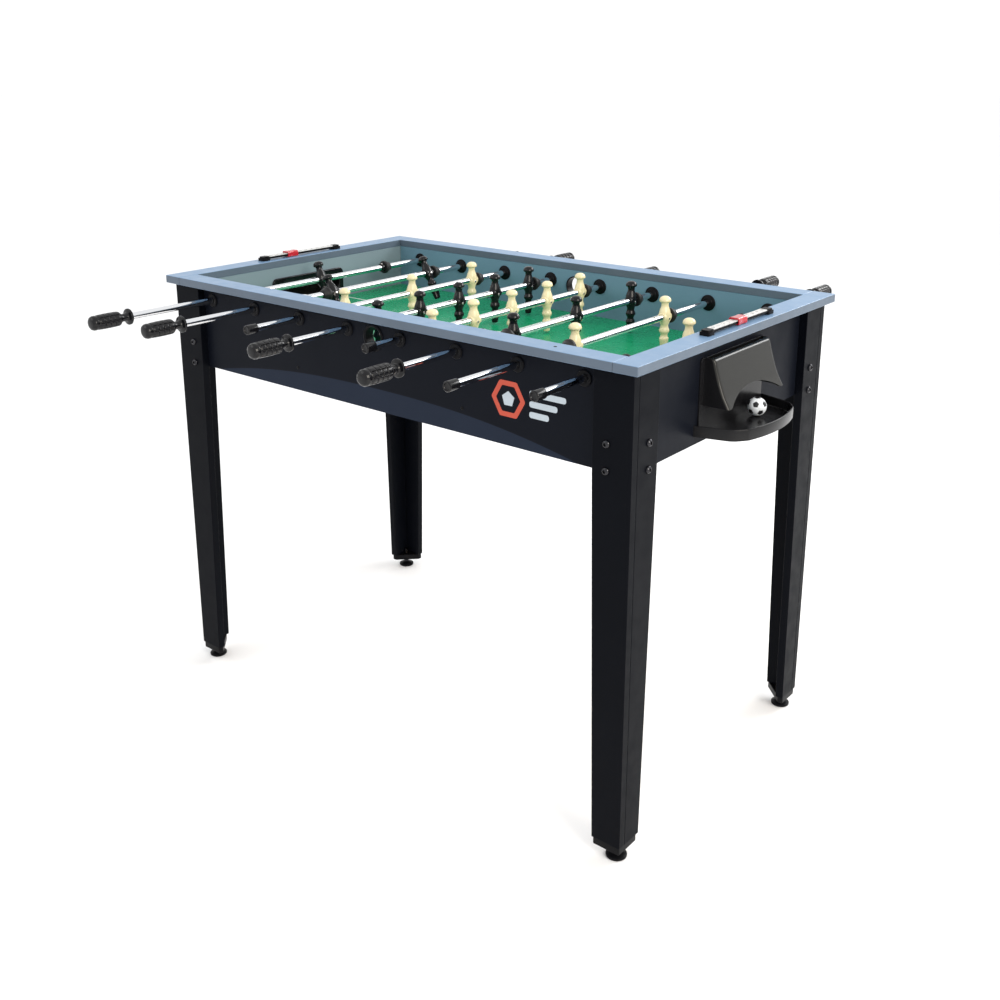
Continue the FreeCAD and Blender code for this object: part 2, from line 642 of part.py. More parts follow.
# Two balls: one on the pitch, one waiting in the right tray
for name, where_x, where_y, floor in (
    ("ball_field", "ballFieldX", "ballFieldY", dim("fieldTop")),
    ("ball_tray", "ballTrayX", "ballTrayY", tray_z + dim("trayFloor")),
):
    ball = doc.addObject("Part::Sphere", f"{name}_sphere")
    bind(ball, "Radius", dim("ballRadius"))
    node(name, place(ball, (dim(where_x), dim(where_y), floor + dim("ballRadius"))))

doc.recompute()

for thing in doc.Objects:
    bad = [word for word in thing.State if word in ("Invalid", "Error")]
    if bad:
        raise RuntimeError(f"{thing.Name} is {bad}")
for thing in nodes:
    if thing.Shape.isNull() or not thing.Shape.isValid():
        raise RuntimeError(f"{thing.Label} has no valid shape")

os.makedirs("parts", exist_ok=True)
for thing in nodes:
    thing.Shape.exportStep(os.path.join("parts", f"{thing.Label}.step"))
print(len(nodes), "nodes written")
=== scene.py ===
"""Foosball table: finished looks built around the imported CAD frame.

Places come from the frame's boxes, which are in metres. Values named here are in
millimetres, and the mesh helpers turn them into metres.
"""

import math

import bmesh
import bpy
from mathutils import Matrix, Vector


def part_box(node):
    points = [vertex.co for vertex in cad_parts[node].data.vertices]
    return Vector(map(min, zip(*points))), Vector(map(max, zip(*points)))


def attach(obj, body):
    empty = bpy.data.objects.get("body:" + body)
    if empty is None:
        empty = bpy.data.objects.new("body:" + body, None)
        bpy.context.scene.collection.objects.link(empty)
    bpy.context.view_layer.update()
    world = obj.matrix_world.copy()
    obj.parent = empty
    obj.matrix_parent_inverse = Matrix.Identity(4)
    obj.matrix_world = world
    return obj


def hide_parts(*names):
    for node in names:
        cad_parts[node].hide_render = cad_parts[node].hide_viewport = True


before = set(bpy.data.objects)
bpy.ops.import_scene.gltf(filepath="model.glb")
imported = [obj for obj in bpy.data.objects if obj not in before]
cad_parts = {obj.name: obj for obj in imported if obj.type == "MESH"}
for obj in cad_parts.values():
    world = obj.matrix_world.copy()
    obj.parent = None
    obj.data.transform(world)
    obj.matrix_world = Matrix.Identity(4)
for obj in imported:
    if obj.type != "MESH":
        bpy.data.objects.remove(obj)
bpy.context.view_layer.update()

MM = 0.001
TINY = 1e-6
SIDES = (-1, 1)

# Limits of the mesh helpers: when a corner counts as straight (radians), how much of an
# edge one rounding may use, and how far a mitre may stretch.
STRAIGHT = 0.03
EDGE_SHARE = 0.48
MITRE_LIMIT = 0.35


# -------- mesh helpers


def fillet(points, radius, steps=4, closed=False):
    """Rounds the corners of a 2D outline; radius is one number or one per point."""
    out = []
    count = len(points)
    for i, point in enumerate(points):
        corner = Vector(point)
        bend = radius[i] if isinstance(radius, (list, tuple)) else radius
        if bend < TINY or (not closed and i in (0, count - 1)):
            out.append(corner)
            continue
        back = Vector(points[i - 1]) - corner
        ahead = Vector(points[(i + 1) % count]) - corner
        angle = back.angle(ahead)
        if angle > math.pi - STRAIGHT:
            out.append(corner)
            continue
        trim = min(bend / math.tan(angle / 2), back.length * EDGE_SHARE, ahead.length * EDGE_SHARE)
        start = corner + back.normalized() * trim
        end = corner + ahead.normalized() * trim
        for k in range(steps + 1):
            t = k / steps
            out.append(start * (1 - t) ** 2 + corner * (2 * t * (1 - t)) + end * t * t)
    return out


def bridge(bm, low, high, mark=0, closed=True):
    """Faces between two rings; a ring of one vertex closes to a point."""
    count = max(len(low), len(high))
    for i in range(count if closed else count - 1):
        j = (i + 1) % count
        corners = [low[i % len(low)], low[j % len(low)], high[j % len(high)], high[i % len(high)]]
        corners = list(dict.fromkeys(corners))
        if len(corners) > 2:
            bm.faces.new(corners).material_index = mark


def loft(bm, rings, mark=0, loop=False):
    """Joins each ring to the next, and the last to the first where it is a loop."""
    for low, high in zip(rings, rings[1:] + (rings[:1] if loop else [])):
        bridge(bm, low, high, mark)


def vertex(bm, x, y, z, place=Matrix()):
    return bm.verts.new(place @ (Vector((x, y, z)) * MM))


def ring_at(bm, outline, level, place=Matrix()):
    """The vertices of an outline in local XY at one level along local Z."""
    return [vertex(bm, *point, level, place) for point in outline]


def rectangle(low_x, low_y, high_x, high_y):
    return [(low_x, low_y), (high_x, low_y), (high_x, high_y), (low_x, high_y)]


def rounded(outline, radius, steps=4):
    """A closed outline with rounded corners."""
    return fillet(outline, radius, steps, closed=True)


def lathe(bm, outline, place=Matrix(), steps=40, mark=0, shape=None):
    """Turns a (radius, height) outline about local Z; shape may reshape each radius."""
    rings = []
    for radius, height in outline:
        ring = []
        for i in range(1 if radius < TINY else steps):
            angle = i * math.tau / steps
            reach = shape(radius, angle, height) if shape else radius
            ring.append(vertex(bm, reach * math.cos(angle), reach * math.sin(angle), height, place))
        rings.append(ring)
    loft(bm, rings, mark)


def prism(bm, outline, low, high, place=Matrix(), mark=0):
    """A closed outline in local XY, extruded along local Z from low to high."""
    rings = [ring_at(bm, outline, level, place) for level in (low, high)]
    loft(bm, rings, mark)
    for ring in rings:
        bm.faces.new(ring).material_index = mark


def board(bm, low, high):
    """A box between two corners in metres."""
    (low_x, low_y, low_z), (high_x, high_y, high_z) = Vector(low) / MM, Vector(high) / MM
    prism(bm, rectangle(low_x, low_y, high_x, high_y), low_z, high_z)


def sweep(bm, path, section, place=Matrix()):
    """Carries a closed (outward, up) section along an open 2D path, mitred at its corners."""
    path = [Vector(point) for point in path]
    rings = []
    for i, point in enumerate(path):
        ahead = (path[min(i + 1, len(path) - 1)] - path[min(i, len(path) - 2)]).normalized()
        behind = (path[max(i, 1)] - path[max(i - 1, 0)]).normalized()
        across = Vector((ahead.y + behind.y, -ahead.x - behind.x)).normalized()
        stretch = 1 / max(MITRE_LIMIT, across.dot(Vector((ahead.y, -ahead.x))))
        rings.append([vertex(bm, *(point + across * out * stretch), up, place) for out, up in section])
    loft(bm, rings)
    for ring in (rings[0], rings[-1]):
        bm.faces.new(ring)


def aim(origin, axis=(0, 0, 1)):
    """A placement at origin, in metres, whose local Z points along axis."""
    return Matrix.Translation(origin) @ Vector(axis).to_track_quat("Z", "Y").to_matrix().to_4x4()


def axes(u, v, w, origin=(0, 0, 0)):
    """A placement whose local X, Y and Z run along u, v and w."""
    return Matrix.Translation(origin) @ Matrix((u, v, w)).transposed().to_4x4()


def on_end(side, x):
    """A placement on an end of the table: local X across it, local Y up and local Z outwards."""
    return axes((0, 1, 0), (0, 0, 1), (side, 0, 0), (side * x, 0, 0))


def turned(side):
    """The table's own axes, or those turned half round for its left end."""
    return axes((side, 0, 0), (0, side, 0), (0, 0, 1))


SIDE_ON = axes((1, 0, 0), (0, 0, 1), (0, 1, 0))
END_ON = axes((0, 1, 0), (0, 0, 1), (1, 0, 0))


def put(name, data):
    """A new object in the scene."""
    obj = bpy.data.objects.new(name, data)
    bpy.context.scene.collection.objects.link(obj)
    return obj


def solid(name, bm, materials):
    """Turns the mesh being built into an object."""
    bmesh.ops.recalc_face_normals(bm, faces=bm.faces)
    mesh = bpy.data.meshes.new(name)
    bm.to_mesh(mesh)
    bm.free()
    for material in materials:
        mesh.materials.append(material)
    return put(name, mesh)


def soften(obj, width, steps=3, angle=35):
    """Rounds the edges that are sharper than angle degrees."""
    bevel = obj.modifiers.new("edges", "BEVEL")
    bevel.width, bevel.segments = width * MM, steps
    bevel.limit_method, bevel.angle_limit = "ANGLE", math.radians(angle)
    bevel.harden_normals = True


def piece(name, bm, materials, body, nodes=(), bevel=0.0, smooth=38):
    """Makes the object, shades it smooth up to that many degrees, hangs it on its body's empty and hides the
    frame parts it replaces.
    """
    obj = solid(name, bm, materials)
    obj.data.shade_smooth()
    obj.data.set_sharp_from_angle(angle=math.radians(smooth))
    if bevel:
        soften(obj, bevel)
    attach(obj, body)
    if nodes:
        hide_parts(*nodes)
    return obj


# -------- materials


def tone(colour, factor):
    """A lighter or darker version of a colour."""
    return tuple(min(1.0, c * factor) for c in colour)


class Graph:
    """A node material: one Principled shader and short calls for the nodes that feed it."""

    def __init__(self, name):
        self.material = bpy.data.materials.new(name)
        self.material.use_nodes = True
        self.tree = self.material.node_tree
        self.tree.nodes.clear()
        self.shader = self.node("BsdfPrincipled")
        output = self.node("OutputMaterial")
        self.tree.links.new(self.shader.outputs["BSDF"], output.inputs["Surface"])
        self.place = self.node("TexCoord").outputs["Object"]
        self.bumps = None

    def node(self, kind, **inputs):
        """Adds a node and feeds the inputs that are named."""
        node = self.tree.nodes.new("ShaderNode" + kind)
        for name, value in inputs.items():
            self.feed(node.inputs[name], value)
        return node

    def feed(self, socket, value):
        """Links a node's output, or sets a plain number or colour."""
        if isinstance(value, bpy.types.NodeSocket):
            self.tree.links.new(value, socket)
        elif value is not None:
            socket.default_value = (*value, 1) if socket.type == "RGBA" else value

    def math(self, operation, a, b=None, clamp=False):
        node = self.node("Math")
        node.operation, node.use_clamp = operation, clamp
        self.feed(node.inputs[0], a)
        self.feed(node.inputs[1], b)
        return node.outputs[0]

    def split(self):
        return self.node("SeparateXYZ", Vector=self.place).outputs

    def noise(self, scale, detail=3, stretch=(1, 1, 1), rough=0.5):
        place = self.node("Mapping", Vector=self.place, Scale=stretch).outputs[0]
        node = self.node("TexNoise", Vector=place, Scale=scale, Detail=detail, Roughness=rough)
        return node.outputs["Fac"]

    def remap(self, value, low, high, out_low, out_high):
        node = self.node("MapRange")
        for socket, number in zip(node.inputs[:5], (value, low, high, out_low, out_high)):
            self.feed(socket, number)
        return node.outputs[0]

    def spread(self, noise, low=0.0, high=1.0, edge=0.3):
        """Stretches a noise value, which keeps near its middle, over a whole range."""
        return self.remap(noise, edge, 1 - edge, low, high)

    def mix(self, factor, a, b):
        node = self.node("Mix")
        node.data_type = "RGBA"
        for name, value in (("Factor", factor), ("A", a), ("B", b)):
            self.feed(node.inputs[name], value)
        return node.outputs["Result"]

    def brighten(self, colour, value):
        return self.node("HueSaturation", Color=colour, Value=value).outputs[0]

    def bump(self, height, depth, strength=1.0):
        """Adds relief of that depth in mm on top of what is there."""
        node = self.node("Bump", Strength=strength, Distance=depth * MM, Height=height, Normal=self.bumps)
        self.bumps = node.outputs[0]
        self.feed(self.shader.inputs["Normal"], self.bumps)

    def surface(self, colour, rough, mottle=0.06, mottle_scale=14, metal=0.0, coat=0.0,
                coat_rough=0.12, specular=0.5, scuffs=0.0, scuff_tone=1.6):
        """Colour with slow variation, uneven roughness and optional fine scuffs."""
        drift = self.spread(self.noise(mottle_scale))
        if isinstance(colour, tuple):
            base = self.mix(drift, tone(colour, 1 - mottle), tone(colour, 1 + mottle))
        else:
            base = self.brighten(colour, self.remap(drift, 0, 1, 1 - mottle, 1 + mottle))
        gloss = self.spread(self.noise(mottle_scale * 3.1, 5), *rough)
        if scuffs:
            streak = self.noise(60, 4, (1, 9, 14), 0.7)
            marks = self.remap(streak, 0.66, 0.74, 0.0, scuffs)
            base = self.mix(marks, base, self.brighten(base, scuff_tone))
            gloss = self.math("ADD", gloss, self.math("MULTIPLY", marks, 0.25), True)
        self.feed(self.shader.inputs["Base Color"], base)
        self.feed(self.shader.inputs["Roughness"], gloss)
        self.shader.inputs["Metallic"].default_value = metal
        self.shader.inputs["Coat Weight"].default_value = coat
        self.shader.inputs["Coat Roughness"].default_value = coat_rough
        self.shader.inputs["Specular IOR Level"].default_value = specular
        return self.material


def moulded(name, colour, rough, grain=0.03, ripple=0.12, **look):
    """Moulded plastic or rubber with a fine spark-eroded grain and a little flow ripple."""
    graph = Graph(name)
    graph.bump(graph.noise(900, 2), grain, 0.5)
    graph.bump(graph.noise(70, 2), ripple, 0.25)
    return graph.surface(colour, rough, **look)


def press_foil(graph):
    """The fine pressed texture of the foil on every board."""
    graph.bump(graph.noise(1400, 2), 0.02, 0.4)
    graph.bump(graph.noise(260, 3, (1, 1, 0.35)), 0.03, 0.35)


def laminate(name, colour, rough, **look):
    """Foil-faced board with a faint waviness of the core."""
    graph = Graph(name)
    press_foil(graph)
    graph.bump(graph.noise(9, 1), 0.5, 0.1)
    return graph.surface(colour, rough, **look)


def metal(name, colour, rough, stretch=(1, 1, 1), **look):
    """Polished metal with fine drawing lines along its length."""
    graph = Graph(name)
    graph.bump(graph.noise(900, 3, stretch), 0.012, 0.35)
    return graph.surface(colour, rough, metal=1.0, **look)


BOARD_BLACK = (0.0050, 0.0062, 0.0100)
WAVE_SLATE = (0.015, 0.021, 0.036)
WALL_BLUE = (0.129, 0.234, 0.308)
# Painted light: a lighter, greyer copy of the wall blue for the inner end walls, standing in for the light
# that falls on them.
WALL_END_PAINTED_LIGHT = (0.180, 0.238, 0.268)
RAIL_BLUE = (0.152, 0.258, 0.405)
EDGE_GREY = (0.080, 0.110, 0.150)
PITCH_GREEN = (0.009, 0.300, 0.130)
BARE_BOARD = (0.36, 0.25, 0.15)

right_low, right_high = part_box("panel_right")
front_low, front_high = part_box("panel_front")
wall_x, skin_x = right_low.x, right_high.x
wall_y, skin_y = -front_high.y, -front_low.y
panel_low = front_low.z
field_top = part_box("playfield")[1].z

# The wave along the panels' foot: its crest, and how it drops away from the middle.
WAVE_CREST = panel_low / MM + 40
WAVE_DROP, WAVE_REACH, WAVE_POWER = 41, 440, 2.4
WAVE_EDGE = 1.6
WALL_MARGIN = 2
FACE_MARGIN = 0.4


def panel_material():
    """Black laminate outside with a slate wave along its foot, grey-blue inside the walls, with painted light
    making the inner end walls lighter and greyer.
    """
    graph = Graph("panel_board")
    x, y, z = (graph.math("DIVIDE", axis, MM) for axis in graph.split())
    far_x, far_y = graph.math("ABSOLUTE", x), graph.math("ABSOLUTE", y)
    within_x = graph.math("LESS_THAN", far_x, wall_x / MM + WALL_MARGIN)
    within_y = graph.math("LESS_THAN", far_y, wall_y / MM + WALL_MARGIN)
    inside = graph.math("MULTIPLY", within_x, within_y)
    reach = graph.math("POWER", graph.math("DIVIDE", far_x, WAVE_REACH), WAVE_POWER)
    crest = graph.math("SUBTRACT", WAVE_CREST, graph.math("MULTIPLY", reach, WAVE_DROP))
    wave = graph.math("MULTIPLY", graph.math("SUBTRACT", crest, z), WAVE_EDGE, True)
    outside = graph.mix(wave, BOARD_BLACK, WAVE_SLATE)
    # Painted light: the inner faces of both end walls take the lighter, greyer blue instead of the long
    # walls' blue.
    lit_end_mask = graph.math("GREATER_THAN", far_x, wall_x / MM - WALL_MARGIN)
    colour = graph.mix(inside, outside, graph.mix(lit_end_mask, WALL_BLUE, WALL_END_PAINTED_LIGHT))
    press_foil(graph)
    return graph.surface(colour, (0.36, 0.48), mottle=0.05, mottle_scale=6, specular=0.05, scuffs=0.2)


def pitch_material():
    """Printed green hardboard: glossy face with faint roller streaks, bare brown underneath."""
    graph = Graph("pitch_print")
    height = graph.split()[2]
    face = graph.math("GREATER_THAN", height, field_top - FACE_MARGIN * MM)
    streaks = graph.spread(graph.noise(26, 4, (0.35, 3, 1)))
    print_coat = graph.mix(streaks, tone(PITCH_GREEN, 0.97), tone(PITCH_GREEN, 1.04))
    fibres = graph.spread(graph.noise(420, 5, (1, 1, 4), 0.7), edge=0.35)
    bare = graph.mix(fibres, tone(BARE_BOARD, 0.8), tone(BARE_BOARD, 1.15))
    graph.bump(graph.noise(600, 3), 0.006, 0.4)
    return graph.surface(graph.mix(face, bare, print_coat), (0.24, 0.31), mottle=0.02, specular=0.25)


def timber_material():
    """Planed softwood with growth rings drawn out along the batten."""
    graph = Graph("batten_pine")
    grain = graph.spread(graph.noise(55, 4, (0.12, 1, 1), 0.6), edge=0.35)
    colour = graph.mix(grain, (0.42, 0.27, 0.13), (0.62, 0.45, 0.25))
    graph.bump(grain, 0.08, 0.4)
    return graph.surface(colour, (0.55, 0.7), mottle=0.08)


def rubber_material():
    """Matt black rubber with a trace of bloom on its skin."""
    graph = Graph("bumper_rubber")
    graph.bump(graph.noise(1200, 3), 0.05, 0.6)
    graph.shader.inputs["Sheen Weight"].default_value = 0.05
    return graph.surface((0.008, 0.008, 0.009), (0.42, 0.58), mottle=0.15, specular=0.3)


panel_board = panel_material()
pitch_print = pitch_material()
batten_pine = timber_material()
leg_board = laminate("leg_board", tone(BOARD_BLACK, 0.5), (0.33, 0.46), specular=0.04, scuffs=0.2)
rail_top = laminate("rail_top", RAIL_BLUE, (0.30, 0.42), mottle=0.035, scuffs=0.2, scuff_tone=1.08)
rail_edge = laminate("rail_edge", EDGE_GREY, (0.36, 0.5))
line_paint = laminate("line_paint", (0.80, 0.88, 0.84), (0.3, 0.42), mottle=0.05)
black_satin = moulded("black_satin", (0.005, 0.005, 0.006), (0.28, 0.40), mottle=0.12, specular=0.08)
black_tray = moulded("black_tray", (0.0075, 0.0075, 0.0085), (0.22, 0.27), specular=0.20)
hood_plastic = moulded("hood_plastic", (0.010, 0.010, 0.0082), (0.23, 0.26), grain=0.002, mottle=0.04,
                       ripple=0.02, specular=0.18, coat=0.27, coat_rough=0.05)
black_shine = moulded("black_shine", (0.0045, 0.0045, 0.0055), (0.10, 0.18), grain=0.006, mottle=0.1,
                      specular=0.24, coat=0.08)
cream_plastic = moulded("cream_plastic", (0.76, 0.66, 0.41), (0.20, 0.30), mottle=0.05)
red_plastic = moulded("red_plastic", (0.44, 0.008, 0.018), (0.14, 0.24), grain=0.01, coat=0.4)
tile_plastic = moulded("tile_plastic", (0.60, 0.60, 0.59), (0.28, 0.4), mottle=0.04)
tile_ink = moulded("tile_ink", (0.012, 0.012, 0.014), (0.4, 0.5), mottle=0.1)
ball_white = moulded("ball_white", (0.80, 0.84, 0.88), (0.26, 0.38), mottle=0.03)
ball_black = moulded("ball_black", (0.010, 0.010, 0.012), (0.26, 0.38), mottle=0.1)
bumper_rubber = rubber_material()
chrome = metal("rod_chrome", (0.76, 0.77, 0.79), (0.05, 0.10), stretch=(1, 0.04, 1), mottle=0.02)
bolt_zinc = metal("bolt_zinc", (0.040, 0.040, 0.044), (0.14, 0.22), mottle=0.15)
screw_steel = metal("screw_steel", (0.50, 0.49, 0.47), (0.22, 0.34), mottle=0.1)
print_orange = laminate("print_orange", (0.46, 0.052, 0.020), (0.32, 0.44), mottle=0.04)
print_white = laminate("print_white", (0.42, 0.48, 0.53), (0.32, 0.44), mottle=0.03)

for label in ("panel_front", "panel_back", "panel_left", "panel_right"):
    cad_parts[label].material_slots[0].material = panel_board
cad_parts["playfield"].material_slots[0].material = pitch_print
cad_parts["field_battens"].material_slots[0].material = batten_pine


# -------- rim and pitch

RAIL_SEAM = 0.25
FACING_UP = 0.5
rail_low, rail_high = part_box("top_rails")
rim_top = rail_high.z / MM


def add_top_rails():
    """Two end boards with two long boards butted between them, pale on their tops."""
    bm = bmesh.new()
    inset = wall_x - RAIL_SEAM * MM
    for side in SIDES:
        near, far = sorted((wall_x * side, rail_high.x * side))
        board(bm, (near, rail_low.y, rail_low.z), (far, rail_high.y, rail_high.z))
        near, far = sorted((wall_y * side, rail_high.y * side))
        board(bm, (-inset, near, rail_low.z), (inset, far, rail_high.z))
    bm.normal_update()
    for face in bm.faces:
        face.material_index = 0 if face.normal.z > FACING_UP else 1
    piece("top_rails_boards", bm, [rail_top, rail_edge], "table", ["top_rails"], bevel=1.2)


PLUG_X = 391
PLUG = [(2.6, -1), (2.6, 0.15), (2.2, 0.4), (0, 0.5)]


def add_rail_plug():
    """One black plug covers the fixing screw near the front right corner."""
    bm = bmesh.new()
    plug_y = (rail_low.y - wall_y) / 2
    lathe(bm, PLUG, aim((PLUG_X * MM, plug_y, rail_high.z)), 24)
    piece("rail_plug", bm, [black_satin], "table")


LINE, PRINT = 4, 0.12
AREA_REACH, AREA_HALF = 380, 100
CIRCLE, BALL_SPOT = 56, 4
pitch_base = field_top / MM
pitch_ink = pitch_base + PRINT


def print_strip(bm, start, end):
    """A straight line on the pitch, drawn half its width past both ends."""
    start, end = Vector(start), Vector(end)
    along = (end - start).normalized() * (LINE / 2)
    side = Vector((-along.y, along.x))
    corners = [start - along - side, end + along - side, end + along + side, start - along + side]
    prism(bm, corners, pitch_base, pitch_ink)


def add_pitch_lines():
    """A thin screen-printed layer: half-way line, centre circle, spot and both areas."""
    bm = bmesh.new()
    end_x, end_y = wall_x / MM - LINE, wall_y / MM - LINE
    print_strip(bm, (0, -end_y), (0, end_y))
    inner, outer = CIRCLE - LINE / 2, CIRCLE + LINE / 2
    section = rectangle(inner, pitch_base, outer, pitch_ink)
    lathe(bm, section + section[:1], steps=96)
    lathe(bm, [(BALL_SPOT, pitch_base), (BALL_SPOT, pitch_ink), (0, pitch_ink)])
    for side in SIDES:
        area = [(side * end_x, -AREA_HALF), (side * AREA_REACH, -AREA_HALF),
                (side * AREA_REACH, AREA_HALF), (side * end_x, AREA_HALF)]
        for start, end in zip(area, area[1:]):
            print_strip(bm, start, end)
    piece("pitch_lines", bm, [line_paint], "table")


# -------- legs and feet

LEG_BOARD = 15
LEG_FOOT_FRONT, LEG_FOOT_END = 54, 56
BOARD_SEAM = 0.3
CORNERS = (("front_left", -1, -1), ("front_right", 1, -1), ("back_left", -1, 1), ("back_right", 1, 1))


def leg_box(where):
    """A leg's box in mm, and how far its outer faces stand from the middle of the table."""
    low, high = (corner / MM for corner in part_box(f"leg_{where}"))
    return low, high, max(abs(low.x), abs(high.x)), max(abs(low.y), abs(high.y))


def add_leg(where, sx, sy):
    """Two tapered boards, the end board butted behind the long one."""
    low, high, edge_x, edge_y = leg_box(where)
    width, taper = high.x - low.x, panel_low / MM

    def tapered(edge, foot, start=0.0):
        return [(edge - start, low.z), (edge - start, high.z), (edge - width, high.z),
                (edge - width, taper), (edge - foot, low.z)]

    bm = bmesh.new()
    face = [(a * sx, b) for a, b in tapered(edge_x, LEG_FOOT_FRONT)]
    near, far = sorted((sy * edge_y, sy * (edge_y - LEG_BOARD)))
    prism(bm, face, near, far, SIDE_ON)
    flank = [(a * sy, b) for a, b in tapered(edge_y, LEG_FOOT_END, LEG_BOARD + BOARD_SEAM)]
    near, far = sorted((sx * edge_x, sx * (edge_x - LEG_BOARD)))
    prism(bm, flank, near, far, END_ON)
    piece(f"leg_{where}_boards", bm, [leg_board], "table", [f"leg_{where}"], bevel=0.9)


CAP_INSET = 1.5
CAP_SIDE, CAP_EDGE = 51, 10
CAP_ROUND = 3


def add_leg_caps():
    """A three-cornered plastic end in the foot of each leg."""
    cap_low, cap_high = (corner.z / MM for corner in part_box("leg_caps"))
    bm = bmesh.new()
    for where, sx, sy in CORNERS:
        _low, _high, edge_x, edge_y = leg_box(where)
        out_x, out_y = edge_x - CAP_INSET, edge_y - CAP_INSET
        corner = [(out_x, out_y), (out_x - CAP_SIDE, out_y), (out_x - CAP_SIDE, out_y - CAP_EDGE),
                  (out_x - CAP_EDGE, out_y - CAP_SIDE), (out_x, out_y - CAP_SIDE)]
        prism(bm, rounded([(sx * a, sy * b) for a, b in corner], CAP_ROUND, 5), cap_low, cap_high)
    piece("leg_cap_mouldings", bm, [black_satin], "table", ["leg_caps"], bevel=1.2)


THREAD_PITCH = 1.25
THREAD_CREST, THREAD_ROOT = 4.0, 3.55
NUT_LOW, NUT_HIGH, NUT_RADIUS = 10, 14, 6.4


def add_leveller(where):
    """A dished pad, a thin nut and a threaded stem."""
    low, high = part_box(f"leveller_{where}")
    place = Matrix.Translation(((low.x + high.x) / 2, (low.y + high.y) / 2, 0))
    radius, top = (high.x - low.x) / 2 / MM, high.z / MM
    bm = bmesh.new()
    dish = [(0, 0), (radius - 1.5, 0), (radius, 1.4), (radius, 4.6), (radius - 2.4, 5.6),
            (radius * 0.46, 8.4), (5, 9), (4.2, 9.4), (4.2, NUT_LOW)]
    lathe(bm, fillet(dish, 0.8, 3), place, 48)
    ridges = range(2 * int((top - NUT_HIGH) / THREAD_PITCH))
    thread = [(THREAD_CREST if k % 2 else THREAD_ROOT, NUT_HIGH + k * THREAD_PITCH / 2) for k in ridges]
    lathe(bm, [(3.5, NUT_LOW)] + thread + [(0, thread[-1][1])], place, 24, mark=1)
    prism(bm, regular(6, NUT_RADIUS), NUT_LOW, NUT_HIGH, place, mark=1)
    piece(f"leveller_{where}_foot", bm, [black_satin, bolt_zinc], f"foot_{where}",
          [f"leveller_{where}"])


# -------- bolts, screws and the badge

BOLT_IN = 45
BOLT_HEIGHTS = (664, 706)
DOME = [(6.5, 0), (6.5, 0.7), (6.15, 1.9), (5.2, 3.1), (4.0, 3.95), (3.0, 4.35), (2.6, 4.4)]
SOCKET = [(2.55, 4.4), (2.45, 4.2), (2.45, 2.0), (0, 1.7)]


def hexed(radius, angle, _height):
    """Reshapes a turned socket into a six-sided one."""
    return radius / math.cos((angle % (math.pi / 3)) - math.pi / 6)


def add_leg_bolts():
    """Carriage bolts with a hex socket in the dome, two in each face of each leg."""
    leg_low, leg_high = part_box("leg_front_right")
    leg_x, leg_y = leg_high.x, -leg_low.y
    inner_x, inner_y = leg_x - BOLT_IN * MM, leg_y - BOLT_IN * MM
    bm = bmesh.new()
    for _where, sx, sy in CORNERS:
        for height in BOLT_HEIGHTS:
            for place in (aim((sx * inner_x, sy * leg_y, height * MM), (0, sy, 0)),
                          aim((sx * leg_x, sy * inner_y, height * MM), (sx, 0, 0))):
                lathe(bm, DOME, place, 36)
                lathe(bm, SOCKET, place, 36, shape=hexed)
    piece("leg_bolt_heads", bm, [bolt_zinc], "table", ["leg_bolts"])


PANEL_SCREW_X, PANEL_SCREW_Z = 200, 700
SCREW_RIM = [(3.2, 0), (3.2, 0.25), (2.7, 0.6), (1.2, 0.65)]
SCREW_DIMPLE = [(1.2, 0.65), (1.0, 0.1), (0, 0.05)]


def add_panel_screws():
    """Small screw caps near the foot of both long panels."""
    bm = bmesh.new()
    for _where, sx, sy in CORNERS:
        place = aim((sx * PANEL_SCREW_X * MM, sy * skin_y, PANEL_SCREW_Z * MM), (0, sy, 0))
        lathe(bm, SCREW_RIM, place, 24)
        lathe(bm, SCREW_DIMPLE, place, 24)
    piece("panel_screw_caps", bm, [black_satin], "table")


BADGE_X, BADGE_Z = 296, 734
BADGE_PRINT = 0.15
RING_OUTER, RING_INNER, TILE_RADIUS = 34, 24.5, 13
BAR_LENGTHS = (70, 54, 38)
BAR_START, BAR_PITCH, BAR_HALF = 42, 17, 5


def regular(sides, radius, turn=0.0):
    """The corners of a regular polygon."""
    angles = [turn + math.tau * k / sides for k in range(sides)]
    return [(radius * math.cos(angle), radius * math.sin(angle)) for angle in angles]


def add_badge():
    """A made-up badge on the front panel: a ring, a five-sided tile and three bars."""
    place = axes((1, 0, 0), (0, 0, 1), (0, 1, 0), (BADGE_X * MM, -skin_y, BADGE_Z * MM))
    bm = bmesh.new()
    outer, inner = rounded(regular(6, RING_OUTER), 5), rounded(regular(6, RING_INNER), 3.5)
    edges = ((outer, 0), (outer, -BADGE_PRINT), (inner, -BADGE_PRINT), (inner, 0))
    loft(bm, [ring_at(bm, outline, level, place) for outline, level in edges])
    prism(bm, regular(5, TILE_RADIUS, math.pi / 2), -BADGE_PRINT, 0, place, mark=1)
    for row, length in enumerate(BAR_LENGTHS):
        level = (1 - row) * BAR_PITCH
        bar = rectangle(BAR_START, level - BAR_HALF, BAR_START + length, level + BAR_HALF)
        prism(bm, rounded(bar, BAR_HALF - 0.1, 5), -BADGE_PRINT, 0, place, mark=1)
    piece("front_badge", bm, [print_orange, print_white], "table")


# -------- goals, return trays, hoods, cups

GOAL_WALL, GOAL_LIP, GOAL_LIP_EDGE = 6, 4, 5
GOAL_ROUND = 1.2
goal_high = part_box("goal_frames")[1]
mouth_half, mouth_top = (reach / MM - GOAL_LIP_EDGE - GOAL_WALL for reach in goal_high.yz)


